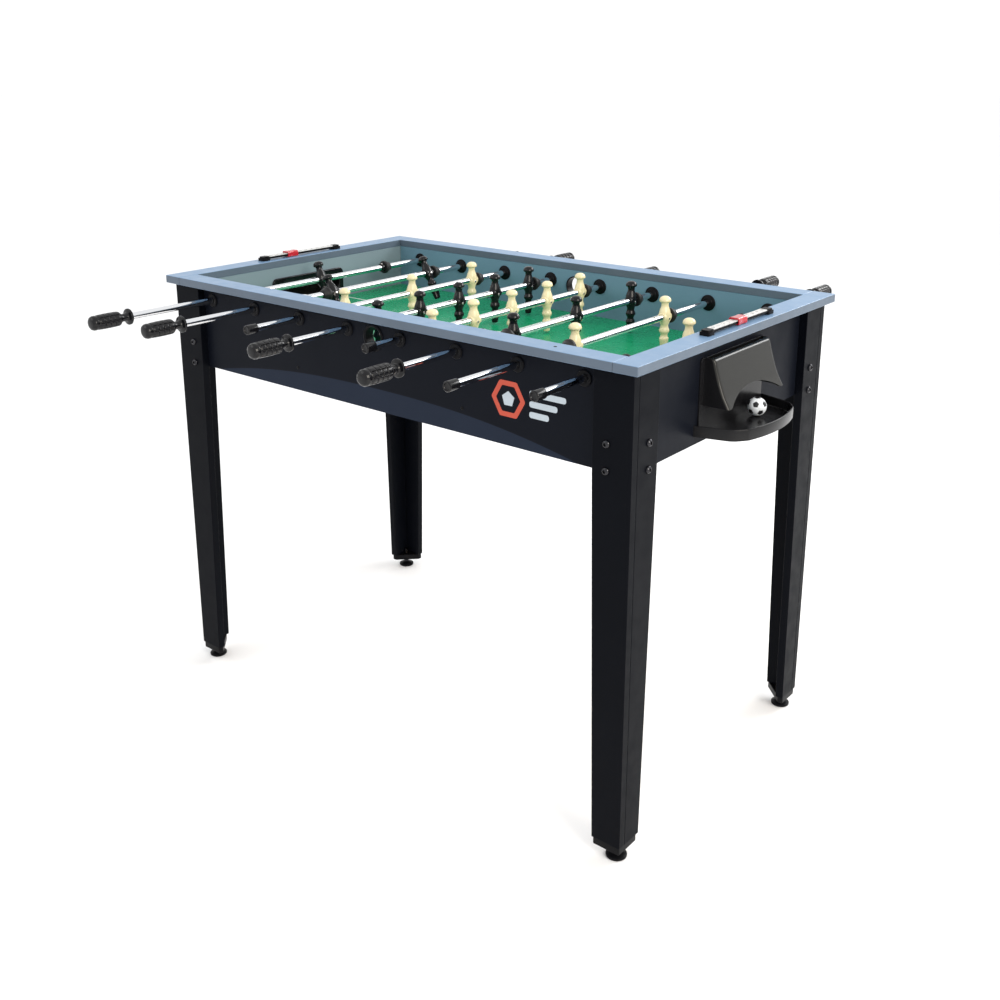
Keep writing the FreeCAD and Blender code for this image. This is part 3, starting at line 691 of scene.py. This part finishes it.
def add_goal_frames():
    """A lipped frame round three sides of each goal mouth."""
    bm = bmesh.new()
    path = fillet([(-mouth_half, pitch_base), (-mouth_half, mouth_top), (mouth_half, mouth_top),
                   (mouth_half, pitch_base)], GOAL_ROUND, 3)
    depth, lip = (skin_x - wall_x) / MM, GOAL_WALL + GOAL_LIP_EDGE
    section = [(0, -GOAL_LIP), (-lip, -GOAL_LIP), (-lip, 0), (-GOAL_WALL, 0), (-GOAL_WALL, depth), (0, depth)]
    section = rounded(section, [2.4, 3.6, 0.4, 0.2, 0.4, 0.6], 6)
    for side in SIDES:
        sweep(bm, path, section, on_end(side, wall_x))
    piece("goal_frame_mouldings", bm, [black_shine], "table", ["goal_frames"])


# Return units: a back plate with the goal window, a bowed tray and a curved hood.
RETURN_HALF, PLATE_ROUND, WINDOW_ROUND = 106, 7, 4
PLATE_EASE = 0.999
SKIN, TRAY_FLOOR = 3, 4
TRAY_BACK, TRAY_RIM = 117, 690
TRAY_CHEEK, TRAY_CORNER = (583, 100), (599, 78)
CHEEK_ROUND, CORNER_ROUND = 34, 16
# How much of the skin the inner outline steps in by, along X and Y, at both corners
CHEEK_IN, CORNER_IN = (0.6, 0.87), (0.9, 0.46)
BACK_IN = 1.3
tray_low, tray_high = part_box("return_trays")
tray_base, plate_top, tray_front = tray_low.z / MM, tray_high.z / MM, tray_high.x / MM
plate_x = skin_x / MM


def bowed(back, cheek, corner, front, steps=28):
    """Plan of the tray: straight flanks, rounded cheeks and a circular bow between them."""
    bow = front - corner[0]
    radius = (corner[1] ** 2 + bow ** 2) / (2 * bow)
    half = math.asin(corner[1] / radius)
    turns = [half * (2 * k / steps - 1) for k in range(steps + 1)]
    arc = [(front - radius + radius * math.cos(turn), radius * math.sin(turn)) for turn in turns]
    plan = [(plate_x, -back), (cheek[0], -cheek[1])] + arc + [(cheek[0], cheek[1]), (plate_x, back)]
    ends = [0, CHEEK_ROUND, CORNER_ROUND]
    return fillet(plan, ends + [0] * (steps - 1) + ends[::-1], 8)


def stepped_in(spot, shares):
    """A corner of the tray moved inwards by shares of the skin."""
    return [at - SKIN * share for at, share in zip(spot, shares)]


def add_tray(bm, side):
    """The tray's wall and floor on one end of the table."""
    place = turned(side)
    wall = [(0, tray_base), (0, TRAY_RIM), (-SKIN, TRAY_RIM), (-SKIN, tray_base + TRAY_FLOOR)]
    plan = bowed(TRAY_BACK, TRAY_CHEEK, TRAY_CORNER, tray_front)
    sweep(bm, plan, rounded(wall, [1.5, 1.3, 1.3, 0], 3), place)
    inside = bowed(TRAY_BACK - SKIN * BACK_IN, stepped_in(TRAY_CHEEK, CHEEK_IN),
                   stepped_in(TRAY_CORNER, CORNER_IN), tray_front - SKIN)
    prism(bm, inside, tray_base + 0.6, tray_base + TRAY_FLOOR, place)


def add_plate(bm, side):
    """The back plate with the goal window through it."""
    outer = rounded(rectangle(-RETURN_HALF, tray_base + TRAY_FLOOR, RETURN_HALF, plate_top), PLATE_ROUND, 6)
    window = rounded(rectangle(-mouth_half, pitch_base, mouth_half, mouth_top), WINDOW_ROUND, 6)
    eased = [point * PLATE_EASE for point in outer]
    edges = ((window, 0), (outer, 0), (outer, SKIN - 0.8), (eased, SKIN), (window, SKIN))
    loft(bm, [ring_at(bm, outline, level, on_end(side, skin_x)) for outline, level in edges], loop=True)


def add_return_trays():
    bm = bmesh.new()
    for side in SIDES:
        add_tray(bm, side)
        add_plate(bm, side)
    piece("return_tray_mouldings", bm, [black_tray], "table", ["return_trays"], bevel=0.5)


HOOD_HALF, HOOD_HEAD = 95, 541
HOOD_ROUND, HOOD_ROLL, HOOD_EDGE = 5, 6, 1.3
ARCH_RADIUS, ARCH_TOP = 165, 742
# Share of the hood's reach at even heights from its foot to its top
HOOD_CURVE = (1, 0.63, 0.38, 0.18, 0)
HOOD_LEVELS = [k / 12 * 0.92 for k in range(13)] + [0.94, 0.955, 0.97, 0.982, 0.992, 1.0]
FRONT_STEPS, CORNER_STEPS = 40, 6
hood_low, hood_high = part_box("return_hoods")
hood_base, hood_top, hood_foot = hood_low.z / MM, hood_high.z / MM, hood_high.x / MM


def hood_face(height):
    """Front of the hood at a height: slightly hollow, rolled in at the top lip."""
    share = (height - hood_base) / (hood_top - hood_base) * (len(HOOD_CURVE) - 1)
    k = min(int(share), len(HOOD_CURVE) - 2)
    run = HOOD_CURVE[k] + (HOOD_CURVE[k + 1] - HOOD_CURVE[k]) * (share - k)
    roll = max(0.0, height - hood_top + HOOD_ROLL) / HOOD_ROLL
    return HOOD_HEAD + (hood_foot - HOOD_HEAD) * run - HOOD_ROLL * (1 - math.sqrt(max(0.0, 1 - roll ** 2)))


def hood_edge(offset):
    """Lower edge of the hood's front at a distance from its middle."""
    reach = ARCH_RADIUS ** 2 - offset ** 2
    return max(hood_base, ARCH_TOP - ARCH_RADIUS + math.sqrt(max(0.0, reach)))


def hood_shell(bm, place):
    """The outer skin from the plate, round both rolled corners and over the arch."""
    turns = [k / CORNER_STEPS for k in range(1, CORNER_STEPS)]
    columns = [("flank", -1, t) for t in (0.0, 0.5, 1.0)] + [("corner", -1, t) for t in turns]
    columns += [("front", 0, k / FRONT_STEPS) for k in range(FRONT_STEPS + 1)]
    columns += [("corner", 1, 1 - t) for t in turns] + [("flank", 1, t) for t in (1.0, 0.5, 0.0)]
    start, inner = plate_x + SKIN, HOOD_HALF - HOOD_ROUND
    rings = []
    for kind, side, t in columns:
        ring = []
        offset = (2 * t - 1) * inner
        foot = hood_edge(offset) if kind == "front" else hood_base
        for level in HOOD_LEVELS:
            height = foot + (hood_top - foot) * level
            face = hood_face(height)
            if kind == "front":
                x, y = face, offset
            elif kind == "corner":
                turn = t * math.pi / 2
                x = face - HOOD_ROUND + HOOD_ROUND * math.sin(turn)
                y = side * (inner + HOOD_ROUND * math.cos(turn))
            else:
                x, y = start + (face - HOOD_ROUND - start) * t, side * HOOD_HALF
            ring.append(vertex(bm, x, y, height, place))
        rings.append(ring)
    # Painted shade: the flank columns take the darker tray plastic so the hood's sides read as sides in
    # shadow.
    for low, high, column in zip(rings, rings[1:], columns):
        bridge(bm, low, high, mark=int(column[0] == "flank"), closed=False)


def add_return_hoods():
    """Both hoods: one pressed skin each, thickened inwards, with rounded edges."""
    bm = bmesh.new()
    for side in SIDES:
        hood_shell(bm, turned(side))
    hoods = piece("return_hood_shells", bm, [hood_plastic, black_tray], "table", ["return_hoods"],
                  smooth=60)
    shell = hoods.modifiers.new("shell", "SOLIDIFY")
    shell.thickness, shell.offset = SKIN * MM, -1
    soften(hoods, HOOD_EDGE, steps=4, angle=50)


ENTRY_HEIGHT, ENTRY_BORE = 787, 18.5
panel_thick = (skin_y - wall_y) / MM
CUP = [(ENTRY_BORE + 0.6, -3), (21, -3), (21, 0), (20, 0), (20, panel_thick), (24, panel_thick),
       (24, panel_thick + 1.5), (ENTRY_BORE + 2.5, panel_thick + 3), (ENTRY_BORE, panel_thick + 1.2),
       (ENTRY_BORE, -2), (ENTRY_BORE + 0.6, -3)]


def add_ball_entries():
    """A flanged cup through the middle of both long panels."""
    bm = bmesh.new()
    for sy in SIDES:
        lathe(bm, fillet(CUP, 0.8, 3), aim((0, sy * wall_y, ENTRY_HEIGHT * MM), (0, sy, 0)), 64)
    piece("ball_entry_mouldings", bm, [black_satin], "table", ["ball_entry_cups"])


# -------- scorers

SCORER_HALF, SCORER_BLOCK, SCORER_WIDTH, SCORER_TALL = 110, 20, 18, 9
BLOCK_STEP, BLOCK_MARGIN, BLOCK_ROUND = 3, 2, 3
BAR_WIDTH, BAR_TALL, BAR_LIFT = 14, 6, 3
TILES, TILE_GAP, TILE_TALL = 11, 0.45, 1.5
DIGIT_SIZE, DIGIT_INK = 9, 0.06
OVERLAP = 0.1
bar_low = rim_top + BAR_LIFT
bar_high = bar_low + BAR_TALL


def digit_mesh(bm, text, place, mark):
    """A flat number, as on a dial, laid on a scorer tile."""
    curve = bpy.data.curves.new("digit", "FONT")
    curve.body, curve.size = text, DIGIT_SIZE * MM
    curve.align_x, curve.align_y = "CENTER", "CENTER"
    curve.extrude = DIGIT_INK * MM
    holder = put("digit", curve)
    bpy.context.view_layer.update()
    mesh = bpy.data.meshes.new_from_object(holder.evaluated_get(bpy.context.evaluated_depsgraph_get()))
    mesh.transform(place)
    before = len(bm.faces)
    bm.from_mesh(mesh)
    bm.faces.ensure_lookup_table()
    for face in bm.faces[before:]:
        face.material_index = mark
    bpy.data.objects.remove(holder)
    bpy.data.meshes.remove(mesh)
    bpy.data.curves.remove(curve)


def add_scorer_blocks(bm, x):
    """A stepped block under each end of the bar."""
    top, step = rim_top + SCORER_TALL, rim_top + SCORER_TALL - BLOCK_STEP
    for sy in SIDES:
        near, far = sorted((sy * SCORER_HALF, sy * (SCORER_HALF - SCORER_BLOCK)))
        for margin, low, high in ((0, rim_top, step), (BLOCK_MARGIN, step - OVERLAP, top)):
            half = SCORER_WIDTH / 2 - margin
            outline = rectangle(x - half, near + margin, x + half, far - margin)
            prism(bm, rounded(outline, BLOCK_ROUND), low, high)


def add_scorer_tiles(bm, x, side):
    """Eleven white tiles along the bar, numbered away from the player who reads them."""
    pitch = (SCORER_HALF - SCORER_BLOCK) * 2 / TILES
    tile_low = bar_high - TILE_TALL - OVERLAP
    tile_high = tile_low + TILE_TALL
    w, d = BAR_WIDTH / 2 - 0.5, pitch / 2 - TILE_GAP
    for k in range(TILES):
        y = (k + 0.5) * pitch - SCORER_HALF + SCORER_BLOCK
        prism(bm, rounded(rectangle(x - w, y - d, x + w, y + d), 0.8, 3), tile_low, tile_high, mark=1)
        facing = Matrix.Rotation(math.radians(90 * side), 4, "Z")
        place = Matrix.Translation((x * MM, y * MM, tile_high * MM)) @ facing
        digit_mesh(bm, str(k if side > 0 else TILES - 1 - k), place, mark=2)


def add_scorer(side, word):
    """A bar with eleven tiles between two end blocks, on one end rail."""
    x = (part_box("scorer_bars")[1].x / MM - SCORER_WIDTH / 2) * side
    bm = bmesh.new()
    add_scorer_blocks(bm, x)
    section = rectangle(-BAR_WIDTH / 2, bar_low, BAR_WIDTH / 2, bar_high - TILE_TALL)
    reach = SCORER_HALF - SCORER_BLOCK / 2
    sweep(bm, [(x, -reach), (x, reach)], rounded(section, 1.2, 3))
    add_scorer_tiles(bm, x, side)
    nodes = ["scorer_bars"] if side < 0 else []
    piece(f"scorer_{word}_bar", bm, [black_satin, tile_plastic, tile_ink], "table", nodes,
          bevel=0.5)


SLIDER_CLEAR = 0.4
# Distance from the hoop's end and how far its sides are pinched in there
PINCHES = ((0, 0), (5, 0), (8, 0.9))
WAIST = 1.2


def add_score_marker(word):
    """A red hoop round the bar, pinched in the middle for a fingertip."""
    low, high = (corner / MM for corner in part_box(f"score_slider_{word}"))
    half, inner = (high.x - low.x) / 2, BAR_WIDTH / 2 + SLIDER_CLEAR
    outside = rounded(rectangle(-half, low.z, half, high.z), [1, 1, 4, 4], 5)
    bore = rounded(rectangle(-inner, bar_low - SLIDER_CLEAR, inner, bar_high + SLIDER_CLEAR), 0.5, 5)
    rise = axes((1, 0, 0), (0, 0, 1), (0, 1, 0), ((low.x + high.x) / 2 * MM, 0, 0))
    waist = [(low.y + away, pinch) for away, pinch in PINCHES] + [((low.y + high.y) / 2, WAIST)]
    waist += [(high.y - away, pinch) for away, pinch in reversed(PINCHES)]
    bm = bmesh.new()
    rings = [ring_at(bm, [(p.x * (1 - pinch / half), p.y) for p in outside], level, rise)
             for level, pinch in waist]
    rings += [ring_at(bm, bore, level, rise) for level in (high.y, low.y)]
    loft(bm, rings, loop=True)
    piece(f"score_marker_{word}_hoop", bm, [red_plastic], f"score_marker_{word}",
          [f"score_slider_{word}"], bevel=0.4)


# -------- rods and players

FIGURES = (1, 2, 3, 5, 5, 3, 2, 1)
BLACK_RODS = (1, 2, 4, 6)
LEANS = {1: 17, 2: 28}
HANDLE, TIP = 80, 22
BUMPER, BUMPER_GAP = 18, 0.3
STOP = 8
MAN_HALF = 12
TUBE_WALL, TUBE_CHAMFER = 1.2, 0.3
GRIP_ROWS, GRIP_RINGS = 8, 4
GRIP_START, GRIP_END = 25, 66
GRIP_RADIUS, GRIP_BARREL = 13.8, 0.5
GRIP_GROOVE = 1.9
ROW_GROOVE, RING_GROOVE = 0.16, 0.18


class Rod:
    """What the frame says about one rod: its axis, its middle and which end is held."""

    def __init__(self, number):
        self.name, self.bar = f"rod_{number}", f"rod_{number}_bar"
        self.dark, self.lean = number in BLACK_RODS, LEANS.get(number, 0)
        self.tube_low, self.tube_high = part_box(f"rod_{number}_tube")
        self.bump_low, self.bump_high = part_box(f"rod_{number}_bumpers")
        self.men_low, self.men_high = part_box(f"rod_{number}_players")
        grip_low, grip_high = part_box(f"rod_{number}_grips")
        self.x, _y, self.z = (self.tube_low + self.tube_high) / 2
        self.radius = (self.tube_high.x - self.tube_low.x) / 2 / MM
        self.middle = (self.bump_low.y + self.bump_high.y) / 2
        self.hand = 1 if grip_high.y - self.middle > self.middle - grip_low.y else -1
        ends = (grip_low.y, grip_high.y)
        self.cap_end, self.hand_end = ends if self.hand > 0 else ends[::-1]
        self.figures = FIGURES[number - 1]

    def at(self, y, way):
        """A placement on the rod's axis at y, whose local Z points along Y times way."""
        return aim((self.x, y, self.z), (0, way, 0))


def add_tube(rod):
    bm = bmesh.new()
    length = (rod.tube_high.y - rod.tube_low.y) / MM
    wall, shoulder = rod.radius - TUBE_WALL, rod.radius - TUBE_CHAMFER
    skin = [(wall, 0), (shoulder, 0), (rod.radius, TUBE_CHAMFER), (rod.radius, length - TUBE_CHAMFER),
            (shoulder, length), (wall, length), (wall, 0)]
    lathe(bm, skin, rod.at(rod.tube_low.y, 1), 64)
    piece(f"{rod.name}_chrome", bm, [chrome], rod.bar, [f"{rod.name}_tube"])


# Half width, half depth and height of the figure's rings, from the sole to the crown.
FIGURE_RINGS = (
    (6.4, 4.6, -60), (7.0, 5.2, -59.4), (7.5, 5.6, -57), (8.6, 6.6, -50), (9.8, 7.7, -43),
    (10.2, 8.1, -40.6), (9.8, 7.9, -39), (8.0, 6.9, -37.6), (6.9, 6.2, -35.4), (6.8, 6.2, -33),
    (7.8, 7.0, -30.4), (9.7, 8.6, -28.2), (10.3, 9.2, -26), (9.8, 8.8, -23.2), (8.3, 7.6, -20.4),
    (7.4, 6.9, -17.6), (7.7, 7.1, -14.8), (9.4, 8.5, -11), (11.2, 9.8, -6.4), (12.0, 10.4, -1),
    (11.9, 10.4, 4.4), (10.9, 9.7, 10), (9.2, 8.5, 14.6), (7.6, 7.2, 18), (6.8, 6.6, 21),
    (6.7, 6.6, 24.6), (7.4, 7.3, 27), (9.7, 9.6, 28), (10.9, 10.8, 29.2), (11.0, 10.9, 31),
    (10.2, 10.1, 33.8), (8.2, 8.1, 36.4), (5.0, 5.0, 38.1), (2.2, 2.2, 38.6), (0, 0, 38.7),
)
FIGURE_STEPS = 32
BOSS = [(0, -12), (8.2, -12), (8.8, -11.2), (9.2, -9), (9.2, 9), (8.8, 11.2), (8.2, 12), (0, 12)]
SCREW_OUT, SCREW_DROP = 9.4, -2.5
SCREW_SEAT = [(4.2, 0), (4.2, 1.2), (3.6, 1.6), (3.0, 1.5), (2.8, 0.7)]
SCREW_HEAD = [(2.8, 0.7), (2.5, 1.1), (1.4, 1.3), (0, 1.35)]


def add_figure(bm, place):
    """One player about the rod's axis: local Z up its back, local X the way it faces."""
    rings = []
    for half_width, half_depth, height in FIGURE_RINGS:
        ring = []
        for i in range(1 if half_width < TINY else FIGURE_STEPS):
            angle = i * math.tau / FIGURE_STEPS
            x, y = half_depth * math.cos(angle), half_width * math.sin(angle)
            ring.append(vertex(bm, x, y, height, place))
        rings.append(ring)
    loft(bm, rings)
    bm.faces.new(rings[0])
    lathe(bm, fillet(BOSS, 0.6, 2), place @ aim((0, 0, 0), (0, 1, 0)), FIGURE_STEPS)
    for side in SIDES:
        seat = place @ aim((side * SCREW_OUT * MM, 0, SCREW_DROP * MM), (side, 0, 0))
        lathe(bm, SCREW_SEAT, seat, 24)
        lathe(bm, SCREW_HEAD, seat, 24, mark=1)


def add_team(rod):
    """Figures spread evenly about the rod's middle, leaning where the rod was left turned."""
    spread = (rod.men_high.y - rod.men_low.y - 2 * MAN_HALF * MM) / max(1, rod.figures - 1)
    lean = Matrix.Rotation(math.radians(-rod.lean), 4, "Y")
    bm = bmesh.new()
    for k in range(rod.figures):
        y = rod.middle + spread * (k - (rod.figures - 1) / 2)
        add_figure(bm, Matrix.Translation((rod.x, y, rod.z)) @ lean)
    plastic, slot = (black_shine, "plastic_figure_black") if rod.dark else (cream_plastic, "plastic_cream")
    piece(f"{rod.name}_team", bm, [plastic, screw_steel], rod.bar, [f"{rod.name}_players"], smooth=50)


def waffle(radius, angle, height):
    """Raised square pads round the grip, with rounded grooves between them."""
    if not GRIP_START < height < GRIP_END:
        return radius
    row = (angle / math.tau * GRIP_ROWS) % 1
    ring = (height - GRIP_START) / (GRIP_END - GRIP_START) * GRIP_RINGS % 1
    edge = min(min(row, 1 - row) / ROW_GROOVE, min(ring, 1 - ring) / RING_GROOVE, 1.0)
    return radius - GRIP_GROOVE * (1 - math.sqrt(max(0.0, 1 - (1 - edge) ** 2)))


def handle_outline(rod_radius, steps=64):
    """From the rod side: flange, waisted neck, shoulder, padded grip and rounded knob."""
    neck = [(rod_radius, 0), (14.4, 0), (15, 0.8), (15, 3.2), (14, 4.2), (8.6, 5.4), (7.4, 8),
            (7.2, 15), (7.8, 19), (11.4, 21.4), (12.9, 23.4), (13.2, GRIP_START)]
    grip = [Vector((GRIP_RADIUS - GRIP_BARREL * (2 * k / steps - 1) ** 2,
                    GRIP_START + (GRIP_END - GRIP_START) * k / steps)) for k in range(1, steps)]
    knob = [(13.2, GRIP_END), (12.2, 67.2), (12.2, 68.6), (13.4, 70), (13.2, 74), (11.6, 77.4),
            (8.2, 79.4), (4, 79.9), (0, HANDLE)]
    return fillet(neck, 0.8, 3) + grip + fillet(knob, 1.2, 3)


def add_collars(bm, rod):
    """Stop collars with a grub screw, on the rods where one figure plays alone."""
    radius = rod.radius
    outline = [(radius, 0), (8.4, 0), (9, 0.6), (9, STOP - 0.6), (8.4, STOP), (radius, STOP)]
    start = (rod.bump_high.y - rod.middle) / MM - BUMPER - BUMPER_GAP - STOP
    for way in SIDES:
        place = rod.at(rod.middle + way * start * MM, way)
        lathe(bm, fillet(outline, 0.4, 2), place, 40)
        pinch = place @ aim((0, 8.6 * MM, STOP / 2 * MM), (0, 1, 0))
        lathe(bm, [(2.4, 0), (2.4, 0.9), (1.9, 1.1), (1.2, 0.5), (0, 0.4)], pinch, 20, mark=1)


def add_handles(rod):
    """A padded handle at one end of the rod and a plain cap at the other."""
    bm = bmesh.new()
    seat = rod.at(rod.hand_end - rod.hand * HANDLE * MM, rod.hand)
    lathe(bm, handle_outline(rod.radius), seat, 96, shape=waffle)
    cap = [(rod.radius, 0), (8.0, 0), (8.5, 0.6), (8.5, TIP - 1.6), (7.2, TIP), (5.6, TIP),
           (4.8, TIP - 1.8), (0, TIP - 2)]
    lathe(bm, fillet(cap, 0.7, 3), rod.at(rod.cap_end + rod.hand * TIP * MM, -rod.hand), 48)
    if rod.figures == 1:
        add_collars(bm, rod)
    piece(f"{rod.name}_handles", bm, [black_shine, screw_steel], rod.bar, [f"{rod.name}_grips"],
          smooth=70)


def add_bumpers(rod):
    """Rubber cones that slide between the outer figures and the bushings."""
    bore = rod.radius + 0.05
    cone = [(bore, 0), (12.6, 0), (14, 1.2), (14, 5.6), (12.4, 7.6), (11.6, 9.4), (10.9, 11.4),
            (9.9, 15.6), (9.0, BUMPER - 0.6), (8.4, BUMPER), (bore, BUMPER)]
    bm = bmesh.new()
    for way, edge in ((1, rod.bump_high.y), (-1, rod.bump_low.y)):
        lathe(bm, fillet(cone, 0.9, 3), rod.at(edge - way * BUMPER * MM, way), 56)
    piece(f"{rod.name}_rubbers", bm, [bumper_rubber], f"{rod.name}_carriage",
          [f"{rod.name}_bumpers"])


BORE = 6.4
BUSH = [(BORE, -5), (9.6, -5), (10.4, -4.2), (10.8, -3.2), (14.4, -2.6), (15.5, -1.6), (15.5, 0), (11, 0),
        (11, panel_thick), (13, panel_thick), (13, panel_thick + 2), (12, panel_thick + 3),
        (9, panel_thick + 3), (BORE, panel_thick + 2.2)]


def add_bushings():
    """A stepped flange inside the wall, a barrel, and a smaller flange outside, for every rod."""
    bm = bmesh.new()
    for number in range(1, len(FIGURES) + 1):
        low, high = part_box(f"rod_{number}_tube")
        axis = (low + high) / 2
        for sy in SIDES:
            lathe(bm, fillet(BUSH, 0.5, 2), aim((axis.x, sy * wall_y, axis.z), (0, sy, 0)), 56)
    piece("rod_bushing_mouldings", bm, [black_satin], "table", ["rod_bushings"])


# -------- balls

SEAM_DEPTH, SEAM_WIDTH = 0.022, 0.018
TILE_CUTS = 7
PENTAGON = 5


def add_football(name, node, body):
    """A moulded ball with the classic 12 black and 20 white tiles and sunk seams."""
    low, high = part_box(node)
    centre, radius = (low + high) / 2, (high.x - low.x) / 2
    bm = bmesh.new()
    # Cutting each corner of an icosahedron a third of the way along its edges leaves the tiles
    bmesh.ops.create_icosphere(bm, subdivisions=1, radius=1)
    bmesh.ops.bevel(bm, geom=bm.verts[:], offset=100 / 3, offset_type="PERCENT", affect="VERTICES",
                    segments=1, profile=0.5)
    bm.faces.ensure_lookup_table()
    tiles = []
    for face in bm.faces:
        face.material_index = 1 if len(face.verts) == PENTAGON else 0
        out = face.calc_center_median()
        tiles.append((out.normalized(), out.length))
    bmesh.ops.poke(bm, faces=bm.faces[:])
    bmesh.ops.subdivide_edges(bm, edges=bm.edges[:], cuts=TILE_CUTS, use_grid_fill=True)
    for vert in bm.verts:
        out = vert.co.normalized()
        reach = sorted((out.dot(normal) / away for normal, away in tiles), reverse=True)
        seam = math.exp(-(((reach[0] - reach[1]) / SEAM_WIDTH) ** 2))
        vert.co = centre + out * radius * (1 - SEAM_DEPTH * seam)
    piece(name, bm, [ball_white, ball_black], body, [node], smooth=60)


# -------- the assembly

add_top_rails()
add_rail_plug()
add_pitch_lines()
for where, sx, sy in CORNERS:
    add_leg(where, sx, sy)
add_leg_caps()
for where, _sx, _sy in CORNERS:
    add_leveller(where)
add_leg_bolts()
add_panel_screws()
add_badge()
add_goal_frames()
add_return_trays()
add_return_hoods()
add_ball_entries()
for side, word in ((-1, "left"), (1, "right")):
    add_scorer(side, word)
for word in ("left", "right"):
    add_score_marker(word)
for number in range(1, len(FIGURES) + 1):
    rod = Rod(number)
    add_tube(rod)
    add_team(rod)
    add_handles(rod)
    add_bumpers(rod)
add_bushings()
add_football("pitch_ball", "ball_field", "loose_ball_pitch")
add_football("tray_ball", "ball_tray", "loose_ball_tray")


# -------- stage, light and camera

FLOOR_RINGS = (0, 400, 2000, 9000, 40000)
WORLD_STRENGTH = 1.08
CAMERA_SPOT = Vector((1.377, -1.643, 1.252))
CAMERA_YAW, CAMERA_PITCH = math.radians(-39.3), math.radians(15.79)
CAMERA_LENS, CAMERA_SENSOR, CAMERA_SHIFT = 41.34, 36, -0.12


def stage_floor():
    """A wide pale floor under the feet."""
    graph = Graph("studio_floor")
    graph.bump(graph.noise(60, 3), 0.2, 0.1)
    material = graph.surface((0.93, 0.935, 0.94), (0.6, 0.7), mottle=0.01, mottle_scale=1.5)
    bm = bmesh.new()
    lathe(bm, [(reach, 0) for reach in FLOOR_RINGS], steps=64)
    floor = solid("studio_floor", bm, [material])


def studio_world():
    """Even white light from all round."""
    world = bpy.data.worlds.new("studio")
    world.use_nodes = True
    background = world.node_tree.nodes["Background"]
    background.inputs["Color"].default_value = (1, 1, 1, 1)
    background.inputs["Strength"].default_value = WORLD_STRENGTH
    bpy.context.scene.world = world
    bpy.context.scene.view_settings.view_transform = "Standard"


def stand(obj, place, gaze):
    """Stands a lamp or a camera at a place in metres, facing along gaze."""
    obj.location = place
    obj.rotation_mode = "QUATERNION"
    obj.rotation_quaternion = gaze.to_track_quat("-Z", "Y")


def soft_light(name, place, target, size, watts, colour=(1, 1, 1)):
    """A large soft panel of light; place, target and size are in metres."""
    light = bpy.data.lights.new(name, "AREA")
    light.shape, light.size, light.size_y, light.energy = "RECTANGLE", *size, watts
    light.color = colour
    stand(put(name, light), place, Vector(target) - Vector(place))


def stage_camera():
    """A level camera that looks along its yaw and pitch."""
    data = bpy.data.cameras.new("camera")
    data.lens, data.sensor_width, data.shift_y = CAMERA_LENS, CAMERA_SENSOR, CAMERA_SHIFT
    camera = put("camera", data)
    gaze = Vector((math.sin(CAMERA_YAW) * math.cos(CAMERA_PITCH),
                   math.cos(CAMERA_YAW) * math.cos(CAMERA_PITCH), -math.sin(CAMERA_PITCH)))
    stand(camera, CAMERA_SPOT, gaze)
    bpy.context.scene.camera = camera


stage_floor()
studio_world()
soft_light("key_left", (-2.2, -3.2, 3.4), (0, 0, 0.75), (2.2, 2.2), 22)
soft_light("fill_right", (3.4, -1.0, 2.2), (0.4, 0, 0.7), (1.8, 1.8), 85, (1.0, 0.92, 0.82))
soft_light("back_right", (1.4, 2.9, 2.5), (0.4, 0, 0.78), (2.4, 1.3), 75)
stage_camera()
